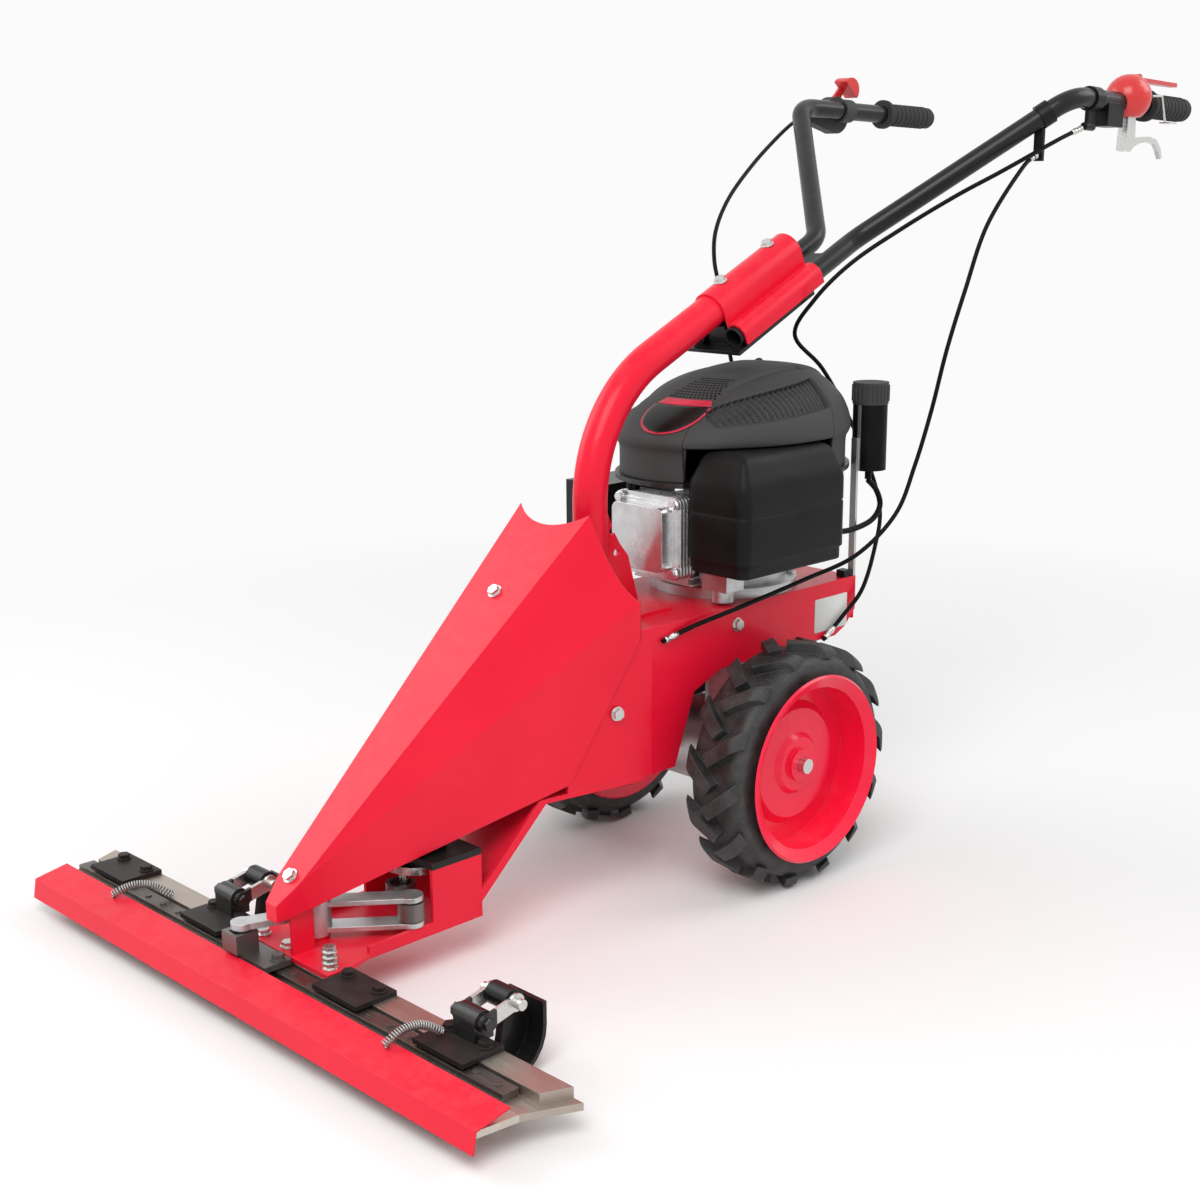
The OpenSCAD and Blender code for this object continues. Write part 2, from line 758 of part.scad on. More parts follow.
module engine_base() {
    color("silver") at_engine() difference() {
        union() {
            cylinder(h = flange_t, d = flange_d);
            translate([0, 0, flange_t]) cylinder(h = case_h, d = case_d);
            cylinder(h = blower_z, d = core_d);
            translate([-barrel_w / 2, -engine_y - barrel_front, barrel_low])
                cube([barrel_w, engine_y + barrel_front, barrel_h]);
            for (k = [0:fin_n - 1])
                translate([-fin_w / 2, -engine_y - barrel_front, barrel_low + k * barrel_h / fin_n])
                    cube([fin_w, fin_l, fin_t]);
            translate([0, 0, blower_z]) linear_extrude(blower_t)
                translate([0, cowl_back]) polygon(oval(cowl_w / 2, cowl_l / 2));
        }
        translate([0, 0, -over]) cylinder(h = blower_z / 2, d = shaft_d + 2 * run_gap);
        for (a = [45:90:315]) rotate([0, 0, a]) translate([engine_bolt_circle / 2, 0, -over])
            cylinder(h = flange_t + 2 * over, d = engine_bolt_d + 2 * fit_gap);
        filter_pocket(filter_room);
        oil_port() cylinder(h = oil_port_l, d = oil_tube_d + 2 * fit_gap);
    }
}

// Cylinder head with its rocker cover and four bolts
head_w = 116;
head_t = 30;
head_low = 35;
head_h = 110;
valve_w = 92;
valve_t = 20;
valve_in = 12;
valve_r = 10;
head_bolt_d = 7;
head_bolt_in = 9;
plug_d = 14;
plug_x = 40;

module round_rect(w, l, r) {
    square([w - 2 * r, l], center = true);
    square([w, l - 2 * r], center = true);
    for (a = [-1, 1], b = [-1, 1]) translate([a * (w / 2 - r), b * (l / 2 - r)]) circle(r);
}

module cylinder_head() {
    color([0.75, 0.75, 0.75]) at_engine() translate([0, -engine_y - barrel_front, head_low + head_h / 2])
        rotate([90, 0, 0]) difference() {
            union() {
                for (k = [0:4]) translate([0, 0, k * head_t / 5])
                    linear_extrude(fin_t) round_rect(head_w, head_h, valve_r);
                linear_extrude(head_t) round_rect(head_w - 2 * fin_out, head_h - 2 * fin_out, valve_r);
                translate([0, 0, head_t]) linear_extrude(valve_t)
                    round_rect(valve_w, head_h - 2 * valve_in, valve_r);
                for (a = [-1, 1], b = [-1, 1])
                    translate([a * (head_w / 2 - head_bolt_in), b * (head_h / 2 - head_bolt_in), head_t])
                        bolt_head(head_bolt_d);
            }
            translate([-plug_x, head_h / 2 - valve_t, head_t / 2]) rotate([-90, 0, 0])
                cylinder(h = head_h, d = plug_d + 2 * fit_gap);
        }
}

// Spark plug, upright in the head's right side, with its cap
plug_l = 20;
plug_cap_d = 19;
plug_cap_l = 10;
module spark_plug() {
    color([0.2, 0.2, 0.2]) at_engine()
        translate([-plug_x, -engine_y - barrel_front - head_t / 2, head_low + head_h - valve_t + over]) {
            cylinder(h = plug_l, d = plug_d);
            translate([0, 0, plug_l]) cylinder(h = plug_cap_l, d = plug_cap_d);
        }
}

// Cowl: an oval shell with louvres, a field of holes and a notch for the air filter
cowl_z_shares = [0, 0.36, 0.7, 0.92, 1];
cowl_size_shares = [1, 1, 0.9, 0.7, 0.46];
louvre_n = 9;
louvre_t = 5;
louvre_w = 17;
louvre_span = 150;
louvre_y = -30;
louvre_x = 62;
louvre_l = 34;
vent_n = 9;
vent_rows = 4;
vent_d = 6;
vent_pitch = 11;
vent_y = 62;
cowl_h = cowl_top - blower_z - blower_t;
guide_at = [-114, 174, 212];
guide_size = [44, 50, 62];
guide_arm = [30, 22, 26];

module cowl_form(inset) {
    hull() for (k = [0:len(cowl_z_shares) - 1])
        translate([0, cowl_back, blower_z + blower_t + max(0, cowl_z_shares[k] * cowl_h - inset)])
            linear_extrude(fit_gap) polygon(oval(
                cowl_size_shares[k] * cowl_w / 2 - inset,
                cowl_size_shares[k] * cowl_l / 2 - inset
            ));
}

module engine_cowl() {
    color([0.1, 0.1, 0.1]) at_engine() difference() {
        cowl_form(0);
        difference() {
            translate([0, 0, -over / 2]) cowl_form(cowl_wall);
            filter_pocket(filter_room + cowl_wall);
        }
        filter_pocket(filter_room);
        translate(guide_at - guide_arm / 2 - [0, guide_arm.y, 0] - fit_gap * [1, 1, 1])
            cube(guide_arm + 2 * fit_gap * [1, 1, 1]);
        for (k = [0:louvre_n - 1], s = [-1, 1])
            translate([s * louvre_x, louvre_y + k * louvre_span / (louvre_n - 1), cowl_top - louvre_w])
                cube([louvre_l, louvre_t, 2 * louvre_w], center = true);
        for (i = [0:vent_n - 1], j = [0:vent_rows - 1])
            translate([(i - (vent_n - 1) / 2) * vent_pitch, -vent_y + j * vent_pitch, cowl_top - vent_y])
                rotate([0, 0, 45]) linear_extrude(vent_y + over) square(vent_d / sqrt(2), center = true);
    }
}

// Air filter: a tray and a deep cover with a bevelled top
filter_r = 12;
filter_tray_h = 18;
filter_bevel_h = 40;
filter_bevel = 16;
filter_wall = 3;
filter_lip = 3;

module filter_slice(inset, z, h) {
    translate([0, 0, z]) linear_extrude(h)
        round_rect(filter_size.x - 2 * inset, filter_size.y - 2 * inset, filter_r - inset / 2);
}

module at_filter() {
    at_axle() translate([0, 0, deck_z] + filter_low + [filter_size.x / 2, filter_size.y / 2, 0]) children();
}

module air_filter_base() {
    color([0.12, 0.12, 0.12]) at_filter() difference() {
        filter_slice(filter_lip, 0, filter_tray_h);
        filter_slice(filter_lip + filter_wall, filter_wall, filter_tray_h);
    }
}

module air_filter_cover() {
    side = filter_size.z - filter_tray_h - filter_bevel_h;
    color([0.08, 0.08, 0.08]) at_filter() translate([0, 0, filter_tray_h]) difference() {
        union() {
            filter_slice(0, 0, side);
            hull() {
                filter_slice(0, side - fit_gap, fit_gap);
                filter_slice(filter_bevel, side + filter_bevel_h - fit_gap, fit_gap);
            }
        }
        filter_slice(filter_wall, -over, side + over - filter_wall);
    }
}

// Carburettor under the filter's tray, with its float bowl
carb_size = [44, 34, 30];
carb_at = [62, -52, 20];
carb_bowl_d = 30;
carb_bowl_h = 16;
carb_pipe_d = 24;
module carburettor() {
    low = [carb_at.x, carb_at.y, deck_z + carb_at.z];
    color([0.7, 0.7, 0.72]) at_axle() {
        translate(low) cube(carb_size + [0, 0, filter_low.z - carb_at.z - carb_size.z - fit_gap]);
        translate(low + [carb_size.x / 2, carb_size.y / 2, -carb_bowl_h])
            cylinder(h = carb_bowl_h, d = carb_bowl_d);
        translate(low + [0, carb_size.y / 2, carb_size.z / 2]) along_x(-carb_at.x + barrel_w / 2 + fin_out)
            cylinder(h = carb_at.x - barrel_w / 2 - fin_out, d = carb_pipe_d);
    }
}

// Muffler: a box with three groups of outlet holes and a pipe to the cylinder
muffler_low = [-166, -82, 48];
muffler_size = [74, 142, 96];
muffler_wall = 2;
muffler_pipe_d = 26;
outlet_d = 11;
outlet_r = 13;
outlet_y_shares = [0.25, 0.5, 0.76];
outlet_z_shares = [0.68, 0.42, 0.3];
module muffler() {
    color([0.1, 0.1, 0.1]) at_axle() translate([0, 0, deck_z]) {
        difference() {
            translate(muffler_low) cube(muffler_size);
            translate(muffler_low + muffler_wall * [1, 1, 1])
                cube(muffler_size - 2 * muffler_wall * [1, 1, 1]);
            for (k = [0:len(outlet_y_shares) - 1], a = [0:90:270])
                translate(muffler_low + [
                    0,
                    outlet_y_shares[k] * muffler_size.y + outlet_r * cos(a),
                    outlet_z_shares[k] * muffler_size.z + outlet_r * sin(a)
                ]) along_x(-over) cylinder(h = muffler_wall + 2 * over, d = outlet_d);
        }
        translate([0, muffler_low.y + muffler_size.y / 2, muffler_low.z + muffler_size.z / 3])
            along_x(muffler_low.x + muffler_size.x)
                cylinder(h = -muffler_low.x - muffler_size.x - barrel_w / 2 - fin_out, d = muffler_pipe_d);
    }
}

// Fuel filler: a bottle with a wide cap at the rear left, on a strap from the deck
fuel_at = [106, 246];
fuel_low = 150;
fuel_h = 92;
fuel_d = 48;
fuel_wall = 3;
fuel_neck_d = 38;
fuel_neck_h = 12;
fuel_cap_d = 50;
fuel_cap_h = 30;
fuel_cap_rim = 4;
fuel_rib_n = 24;
fuel_rib_d = 3;
strap_w = 10;
strap_t = 4;
spout_d = 10;
spout_l = 14;

module at_fuel() {
    at_axle() translate([fuel_at.x, fuel_at.y, deck_z]) children();
}

module fuel_filler() {
    color([0.1, 0.1, 0.1]) at_fuel() {
        difference() {
            union() {
                translate([0, 0, fuel_low]) cylinder(h = fuel_h, d = fuel_d);
                translate([0, 0, fuel_low + fuel_h]) cylinder(h = fuel_neck_h, d = fuel_neck_d);
            }
            translate([0, 0, fuel_low + fuel_wall])
                cylinder(h = fuel_h + fuel_neck_h, d = fuel_neck_d - 2 * fuel_wall);
        }
        translate([0, 0, fuel_low - spout_l]) cylinder(h = spout_l, d = spout_d);
        translate([-strap_w, -fuel_d / 2 - strap_t + over / 4, 0])
            cube([strap_w, strap_t, fuel_low + fuel_h / 2]);
    }
}

module fuel_cap() {
    color([0.08, 0.08, 0.08]) at_fuel() translate([0, 0, fuel_low + fuel_h + move_gap]) difference() {
        union() {
            cylinder(h = fuel_cap_h, d = fuel_cap_d);
            for (k = [0:fuel_rib_n - 1]) rotate([0, 0, k * 360 / fuel_rib_n])
                translate([fuel_cap_d / 2, 0, fuel_cap_rim])
                    cylinder(h = fuel_cap_h - 2 * fuel_cap_rim, d = fuel_rib_d);
        }
        translate([0, 0, -over]) cylinder(h = fuel_neck_h + over + move_gap, d = fuel_neck_d + 2 * move_gap);
    }
}

hose_d = 8;
hose_sides = 10;
hose_steps = 3;
hose_route = [
    [106, 246, 504], [109, 262, 488], [113, 266, 466], [114, 246, 448], [112, 205, 440], [112, 165, 442],
    [112, 126, 446]
];
module fuel_hose() {
    color([0.15, 0.15, 0.15]) at_axle() swept(smooth(hose_route, hose_steps), hose_d, hose_sides);
}

// Oil filler: a tube from the crankcase to a cap at the rear right
oil_tube_d = 22;
oil_port_l = 60;
oil_bend = 40;
oil_foot = [-46, 100, 398];
oil_knee = [-112, 222, 430];
oil_mouth = [-117, 230, 518];
oil_route = [oil_foot, oil_knee, oil_mouth];
oil_cap_d = 32;
oil_cap_h = 22;
module oil_port() {
    v = oil_route[1] - oil_route[0];
    translate(oil_foot - [0, engine_y, deck_z]) rotate([0, acos(v.z / norm(v)), atan2(v.y, v.x)]) children();
}

module oil_filler() {
    color([0.1, 0.1, 0.1]) at_axle() bent_tube(oil_route, oil_bend, oil_tube_d, fuel_wall);
}

module oil_cap() {
    v = unit(oil_route[2] - oil_route[1]);
    color([0.1, 0.1, 0.1]) at_axle() translate(oil_route[2] + v * move_gap)
        rotate([0, acos(v.z), atan2(v.y, v.x)]) {
            cylinder(h = oil_cap_h, d = oil_cap_d, $fn = 12);
            translate([0, 0, -oil_cap_h])
                cylinder(h = oil_cap_h, d = oil_tube_d - 2 * fuel_wall - 2 * move_gap);
        }
}

// Rope guide of the starter and its handle
rope_d = 5;
bar_grip_d = 20;
bar_grip_l = 84;
bar_grip_lift = 14;
bar_tilt = 38;
module at_guide() {
    at_engine() translate(guide_at) children();
}

module starter_guide() {
    color([0.1, 0.1, 0.1]) at_guide() difference() {
        union() {
            translate([-guide_size.x / 2, 0, -guide_size.z / 2]) cube(guide_size);
            translate([-guide_arm.x / 2, -guide_arm.y * 3 / 2, -guide_arm.z / 2])
                cube(guide_arm + [0, guide_arm.y * 3 / 2, 0]);
        }
        translate([0, guide_size.y / 2, 0]) rotate([-bar_tilt, 0, 0])
            cylinder(h = guide_size.z, d = rope_d + 2 * move_gap);
    }
}

module starter_handle() {
    color([0.1, 0.1, 0.1]) at_guide() translate([0, guide_size.y / 2, 0]) rotate([-bar_tilt, 0, 0]) {
        translate([0, 0, guide_size.z / 2 + bar_grip_lift + bar_grip_d / 2]) rotate([90, 0, 0])
            cylinder(h = bar_grip_l, d = bar_grip_d, center = true);
        translate([0, 0, guide_size.z / 4])
            cylinder(h = guide_size.z / 4 + bar_grip_lift + bar_grip_d / 2, d = rope_d);
    }
}

// Belt drive: pulleys under the deck, a gearbox on the axle and a crank at the front
pulley_d = 72;
groove_d = 58;
pulley_h = 20;
pulley_rim = 4;
crank_belt_z = 262;
axle_belt_z = 240;
belt_t = 10;
belt_w = 7;
gear_r = 60;
gear_l = 150;
gear_setback = 60;
gear_neck_d = 60;
gear_ear_t = 6;
gear_ear_x = 68;
gear_ear_l = 100;
gear_flange_d = 84;
gear_flange_t = 10;
gear_shaft_d = 16;

// Points where a straight run leaves the circle round a for the circle round b
function lean(a, ra, b, rb) = acos((ra - rb) / norm(b - a));
function leave(a, ra, b, rb, s) =
    let (v = b - a, h = atan2(v.y, v.x) + s * lean(a, ra, b, rb)) a + ra * [cos(h), sin(h)];

// A flat shape round two circles, its straight sides a little inside them
wrap_in = 0.25;
module wrapped(a, ra, b, rb) {
    na = ra - wrap_in;
    nb = rb - wrap_in;
    translate(a) circle(ra);
    translate(b) circle(rb);
    polygon([
        leave(a, na, b, nb, 1), a, leave(a, na, b, nb, -1),
        b + nb * unit(leave(a, na, b, nb, -1) - a), b, b + nb * unit(leave(a, na, b, nb, 1) - a)
    ]);
}

module pulley(z) {
    translate([0, 0, z - pulley_h / 2]) {
        cylinder(h = pulley_rim, d = pulley_d);
        cylinder(h = pulley_h, d = groove_d - 2 * fit_gap);
        translate([0, 0, pulley_h - pulley_rim]) cylinder(h = pulley_rim, d = pulley_d);
    }
}

module engine_pulley() {
    low = axle_belt_z - pulley_h / 2;
    color([0.4, 0.4, 0.4]) at_axle() translate([0, engine_y, 0]) {
        pulley(crank_belt_z);
        pulley(axle_belt_z);
        translate([0, 0, low]) cylinder(h = deck_z - low + flange_t, d = shaft_d);
    }
}

module gearbox() {
    color([0.65, 0.65, 0.65]) at_axle() difference() {
        union() {
            translate([0, 0, axle_z]) along_x(-gear_l / 2) cylinder(h = gear_l, r = gear_r);
            translate([0, 0, axle_z]) both_sides() along_x(gear_l / 2)
                cylinder(h = gear_flange_t, d = gear_flange_d);
            translate([0, -gear_setback, axle_z])
                cylinder(h = axle_belt_z - pulley_h - axle_z, d = gear_neck_d);
            both_sides() translate([gear_ear_x, -gear_ear_l / 2, axle_z])
                cube([gear_ear_t, gear_ear_l, deck_z - frame_t - axle_z]);
        }
        translate([0, 0, axle_z]) along_x(-gear_l) cylinder(h = 2 * gear_l, d = axle_d + 2 * run_gap);
        translate([0, -gear_setback, axle_z + gear_r / 2])
            cylinder(h = axle_z, d = gear_shaft_d + 2 * run_gap);
    }
}

module gearbox_pulley() {
    color([0.4, 0.4, 0.4]) at_axle() translate([0, -gear_setback, 0]) {
        pulley(axle_belt_z);
        translate([0, 0, axle_z + gear_r / 2 + over])
            cylinder(h = axle_belt_z - axle_z - gear_r / 2, d = gear_shaft_d);
    }
}

module belt(a, b, z) {
    translate([0, 0, z - belt_t / 2]) linear_extrude(belt_t) difference() {
        wrapped(a, groove_d / 2 + belt_w, b, groove_d / 2 + belt_w);
        wrapped(a, groove_d / 2 + move_gap, b, groove_d / 2 + move_gap);
    }
}

module drive_belts() {
    color([0.1, 0.1, 0.1]) at_axle() {
        belt([0, engine_y], crank_at, crank_belt_z);
        belt([0, engine_y], [0, -gear_setback], axle_belt_z);
    }
}

axle_out = 36;
module drive_axle() {
    color([0.7, 0.7, 0.7]) at_axle() translate([0, 0, axle_z]) along_x(-track_w / 2 - axle_out)
        cylinder(h = track_w + 2 * axle_out, d = axle_d);
}

// Wheels: a pressed rim and a lugged tyre, drawn about the axle with x outwards
seat_r = 112;
rim_t = 3;
rim_in = 42;
rim_out = 52;
lip_w = 3;
disc_x = 14;
disc_t = 4;
step_r = 84;
step_w = 10;
dish_r = 36;
dish_w = 6;
hub_d = 44;
hub_out = 26;
tread_r = wheel_d / 2 - lug_h;
shoulder_r = 16;
lug_w = 18;
lug_skew = 38;
lug_start = 5;
lug_sink = 6;

module wheel_turn() {
    rotate([0, 90, 0]) rotate_extrude() children();
}

// Profile across the rim: radius first, then distance outwards
module rim_profile() {
    barrel = [
        [seat_r, -rim_in], [rim_d / 2, -rim_in - lip_w], [rim_d / 2 - lip_w, -rim_in - 2 * lip_w],
        [seat_r - rim_t, -rim_in - lip_w], [seat_r - rim_t, rim_out - 2 * lip_w],
        [rim_d / 2 - lip_w, rim_out + lip_w], [rim_d / 2, rim_out], [seat_r, rim_out - 3 * lip_w]
    ];
    plate = [
        [hub_d / 2 - over, disc_x + dish_w], [dish_r, disc_x + dish_w], [dish_r + dish_w, disc_x],
        [step_r - step_w, disc_x], [step_r, disc_x - step_w], [seat_r - rim_t + over, disc_x - step_w],
        [seat_r - rim_t + over, disc_x - step_w - disc_t], [step_r - disc_t, disc_x - step_w - disc_t],
        [step_r - step_w - disc_t, disc_x - disc_t], [dish_r + dish_w - disc_t, disc_x - disc_t],
        [dish_r - disc_t, disc_x + dish_w - disc_t], [hub_d / 2 - over, disc_x + dish_w - disc_t]
    ];
    polygon(barrel);
    polygon(plate);
    translate([axle_d / 2 + run_gap, -rim_in]) square([hub_d / 2 - axle_d / 2 - run_gap, rim_in + hub_out]);
}

module at_wheel(s) {
    at_axle() translate([s * track_w / 2, 0, axle_z]) mirror([s < 0 ? 1 : 0, 0, 0]) children();
}

module rim_left() {
    color("crimson") at_wheel(1) wheel_turn() rim_profile();
}

module rim_right() {
    color("crimson") at_wheel(-1) wheel_turn() rim_profile();
}

// Outline of the tyre's body, grown outwards by h
module tyre_profile(h) {
    half = tyre_w / 2;
    translate([seat_r + fit_gap, -half]) square([tread_r + h - shoulder_r - seat_r - fit_gap, tyre_w]);
    translate([tread_r + h - shoulder_r - over, shoulder_r - half])
        square([shoulder_r + over, tyre_w - 2 * shoulder_r]);
    for (s = [-1, 1]) translate([tread_r + h - shoulder_r, s * (half - shoulder_r)]) circle(shoulder_r);
}

module lug_row(s) {
    lug_l = tyre_w / 2 / cos(lug_skew) + lug_w;
    for (k = [0:lug_n - 1]) rotate([(k + (s > 0 ? 0 : 1 / 2)) * 360 / lug_n, 0, 0])
        translate([-s * lug_start, 0, tread_r - lug_sink]) rotate([0, 0, s * lug_skew])
            translate([s > 0 ? 0 : -lug_l, -lug_w / 2, 0]) cube([lug_l, lug_w, 2 * lug_h]);
}

module tyre() {
    wheel_turn() tyre_profile(0);
    intersection() {
        union() {
            lug_row(1);
            lug_row(-1);
        }
        wheel_turn() tyre_profile(lug_h);
    }
}

module tyre_left() {
    color([0.12, 0.12, 0.12]) at_wheel(1) tyre();
}

module tyre_right() {
    color([0.12, 0.12, 0.12]) at_wheel(-1) tyre();
}

// Crank, connecting rod and rocker that swing the knife
crank_shaft_d = 24;
crank_top = 285;
crank_disc_d = 84;
crank_disc_z = 108;
crank_disc_t = 10;
crank_pin_d = 12;
rod_z = 74;
rod_t = 22;
rod_web_t = 12;
rod_web_w = 24;
rod_big_d = 36;
rod_small_d = 32;
rod_slack = 6.5;
housing_d = 72;
housing_z = 122;
housing_top = 205;
housing_flange_t = 8;
lever_w = 26;
lever_t = 8;
lever_z = 84;
tip_pin_d = 12;
tip_pin_low = 60;
hub_low = base_top + pivot_boss_h + move_gap;
prong_t = 6;
prong_w = 30;
prong_gap = 2;
rocker_hub_d = 40;
pivot_top = rod_z + rod_t + prong_gap + prong_t + over;

module at_plan(p) {
    at_axle() translate([p.x, p.y, 0]) children();
}

module crank_housing() {
    ear_top = base_top + ear_h;
    color([0.12, 0.12, 0.12]) at_plan(crank_at) difference() {
        union() {
            translate([0, 0, housing_z]) cylinder(h = housing_top - housing_z, d = housing_d);
            translate([-crank_at.x - base_w / 2, -ear_l / 2, ear_top])
                cube([base_w, ear_l, housing_flange_t]);
        }
        cylinder(h = crank_top, d = crank_shaft_d + 2 * run_gap);
    }
}

module crank() {
    color([0.55, 0.55, 0.55]) {
        at_plan(crank_at) {
            pulley(crank_belt_z);
            translate([0, 0, crank_disc_z]) cylinder(h = crank_top - crank_disc_z, d = crank_shaft_d);
            translate([0, 0, crank_disc_z]) cylinder(h = crank_disc_t, d = crank_disc_d);
        }
        at_plan(pin_at) translate([0, 0, rod_z]) cylinder(h = crank_disc_z - rod_z + over, d = crank_pin_d);
    }
}

module con_rod() {
    color([0.15, 0.15, 0.15]) at_axle() difference() {
        union() {
            link_bar(rod_end, fork_at, rod_web_w, rod_z + (rod_t - rod_web_t) / 2, rod_web_t);
            translate([rod_end.x, rod_end.y, rod_z]) cylinder(h = rod_t, d = rod_big_d);
            translate([fork_at.x, fork_at.y, rod_z]) cylinder(h = rod_t, d = rod_small_d);
        }
        translate([rod_end.x, rod_end.y, 0]) cylinder(h = crank_top, d = crank_pin_d + 2 * rod_slack);
        translate([fork_at.x, fork_at.y, 0]) cylinder(h = crank_top, d = tip_pin_d + 2 * run_gap);
    }
}

module rocker() {
    low = rod_z - prong_gap - prong_t;
    high = rod_z + rod_t + prong_gap;
    color([0.75, 0.75, 0.75]) {
        at_axle() difference() {
            union() {
                link_bar(rocker_at, tip_at, lever_w, lever_z, lever_t);
                for (z = [low, high]) link_bar(rocker_at, fork_at, prong_w, z, prong_t);
                translate([rocker_at.x, rocker_at.y, hub_low])
                    cylinder(h = pivot_top - hub_low, d = rocker_hub_d);
            }
            translate([rocker_at.x, rocker_at.y, 0]) cylinder(h = crank_top, d = pivot_d + 2 * run_gap);
        }
        at_plan(tip_at) translate([0, 0, tip_pin_low])
            cylinder(h = lever_z - tip_pin_low + lever_t / 2, d = tip_pin_d);
        at_plan(fork_at) translate([0, 0, low + prong_t / 2])
            cylinder(h = high - low, d = tip_pin_d);
    }
}

module rocker_pivot() {
    color("silver") at_plan(rocker_at) {
        translate([0, 0, base_top - base_t])
            cylinder(h = pivot_top + move_gap - base_top + base_t, d = pivot_d);
        translate([0, 0, pivot_top + move_gap]) bolt_head(pivot_d * 3 / 4);
    }
}

// Cutter bar: a flat bar with a rear strip, and a row of fingers along its front edge
finger_w = 20;
finger_tip_w = 5;
bar_end_in = 28;
strip_end_in = 14;
hold_w = 80;
hold_shares = [-0.4, 0.328];
hold_gaps = [30, 3];
hold_in = base_front_w / 2 + hold_w / 2;
hold_x = [bar_l * hold_shares[0], -hold_in - hold_gaps[0], hold_in + hold_gaps[1], bar_l * hold_shares[1]];
hold_l = 56;
hold_t = 6;
hold_bolt_d = 8;
hold_bolt_x = 28;
hold_bolt_in = 15;
finger_y = -bar_reach - comb_w;
knife_short = 8;
knife_tip_y = finger_y - finger_l + knife_short;

finger_room = bar_l / 2 - bar_end_in - finger_w / 2;
finger_count = min(finger_n, 1 + 2 * floor(finger_room / finger_pitch));
function finger_x(k) = (k - (finger_count - 1) / 2) * finger_pitch;

module hold_holes(x, z, h) {
    for (s = [-1, 1]) translate([x + s * hold_bolt_x, -bar_reach - hold_bolt_in, z])
        cylinder(h = h, d = hold_bolt_d + 2 * fit_gap);
}

module cutter_bar() {
    plate = mirrored([[bar_l / 2 - bar_end_in, finger_y], [bar_l / 2, -bar_reach]]);
    strip = mirrored([
        [bar_l / 2 - strip_end_in - bar_end_in / 2, -bar_reach - bar_strip_w],
        [bar_l / 2 - strip_end_in, -bar_reach]
    ]);
    color([0.62, 0.6, 0.56]) at_axle() difference() {
        union() {
            plan_plate(plate, bar_z, bar_t);
            plan_plate(strip, bar_z + bar_t + fit_gap, knife_t - fit_gap);
        }
        for (x = hold_x) hold_holes(x, 0, bar_top + over);
        for (p = base_bolt_places) translate([p.x, p.y, 0]) hole(bar_top + over, base_bolt_d);
    }
}

module fingers() {
    finger = mirrored([[finger_tip_w / 2, -finger_l], [finger_w / 2, 0]]);
    color([0.62, 0.6, 0.56]) at_axle() for (k = [0:finger_count - 1])
        translate([finger_x(k), finger_y, 0]) plan_plate(finger, bar_z, bar_t);
}

// Knife: triangular sections riveted under a strip
knife_gap = 0.3;
section_t = 3;
section_tip_w = 14;
section_back = 692;
rail_t = 6;
rail_back = 690.5;
rail_front = 712;
rivet_d = 8;
rivet_h = 2;
rivet_y = 702;
section_n = finger_count - 1;

module knife() {
    sections = concat(
        [[finger_x(0) - finger_pitch / 2, -section_back]],
        [
            for (k = [0:section_n - 1], p = [
                [-finger_pitch / 2, -rail_front], [-section_tip_w / 2, knife_tip_y],
                [section_tip_w / 2, knife_tip_y], [finger_pitch / 2, -rail_front]
            ]) [finger_x(k) + p.x, p.y]
        ],
        [[finger_x(section_n - 1) + finger_pitch / 2, -section_back]]
    );
    low = bar_z + bar_t + knife_gap;
    color([0.4, 0.38, 0.36]) at_axle() {
        plan_plate(sections, low, section_t);
        translate([finger_x(0) - finger_pitch / 2, -rail_front, low + section_t])
            cube([section_n * finger_pitch, rail_front - rail_back, rail_t]);
        for (k = [0:section_n - 1]) translate([finger_x(k), -rivet_y, low + section_t])
            cylinder(h = rail_t + rivet_h, d = rivet_d);
    }
}

// Knife head: the block that the rocker's pin drives
head_lead = 25;
head_run = 85;
head_front = 727;
head_base_t = 7;
head_block_w = 30;
head_block_y = 719;
head_block_l = 30;
head_top = 82;
head_step = 59;
head_slot_l = 21;
head_slack = 1.3;
head_bolt_x = 50;
knife_top = bar_z + bar_t + knife_gap + section_t + rail_t + rivet_h;

module knife_head() {
    color([0.12, 0.12, 0.12]) at_axle() difference() {
        union() {
            translate([tip_at.x - head_lead, -head_front, knife_top])
                cube([head_run, head_front - rail_back, head_base_t]);
            side_plate([
                [-head_front, knife_top], [-head_front, head_step],
                [-head_block_y - head_block_l / 2, head_step],
                [-head_block_y - head_block_l / 2, head_top], [-head_block_y + head_block_l / 2, head_top],
                [-head_block_y + head_block_l / 2, knife_top]
            ], tip_at.x - head_block_w / 2, head_block_w);
            translate([tip_at.x + head_bolt_x, -rivet_y, knife_top + head_base_t]) bolt_head(hold_bolt_d);
        }
        translate([
            tip_at.x - tip_pin_d / 2 - head_slack,
            -head_block_y - head_slot_l / 2,
            knife_top + over
        ]) cube([tip_pin_d + 2 * head_slack, head_slot_l, head_top]);
    }
}

module hold_downs() {
    color([0.14, 0.14, 0.14]) at_axle() difference() {
        for (x = hold_x) translate([x - hold_w / 2, -bar_reach - hold_l, bar_top])
            cube([hold_w, hold_l, hold_t]);
        for (x = hold_x) hold_holes(x, 0, bar_top + hold_t + over);
    }
}

module hold_down_bolts() {
    color([0.12, 0.12, 0.12]) at_axle() for (x = hold_x, s = [-1, 1])
        translate([x + s * hold_bolt_x, -bar_reach - hold_bolt_in, bar_top + hold_t])
            bolt(hold_bolt_d, hold_t + bar_top - bar_z);
}

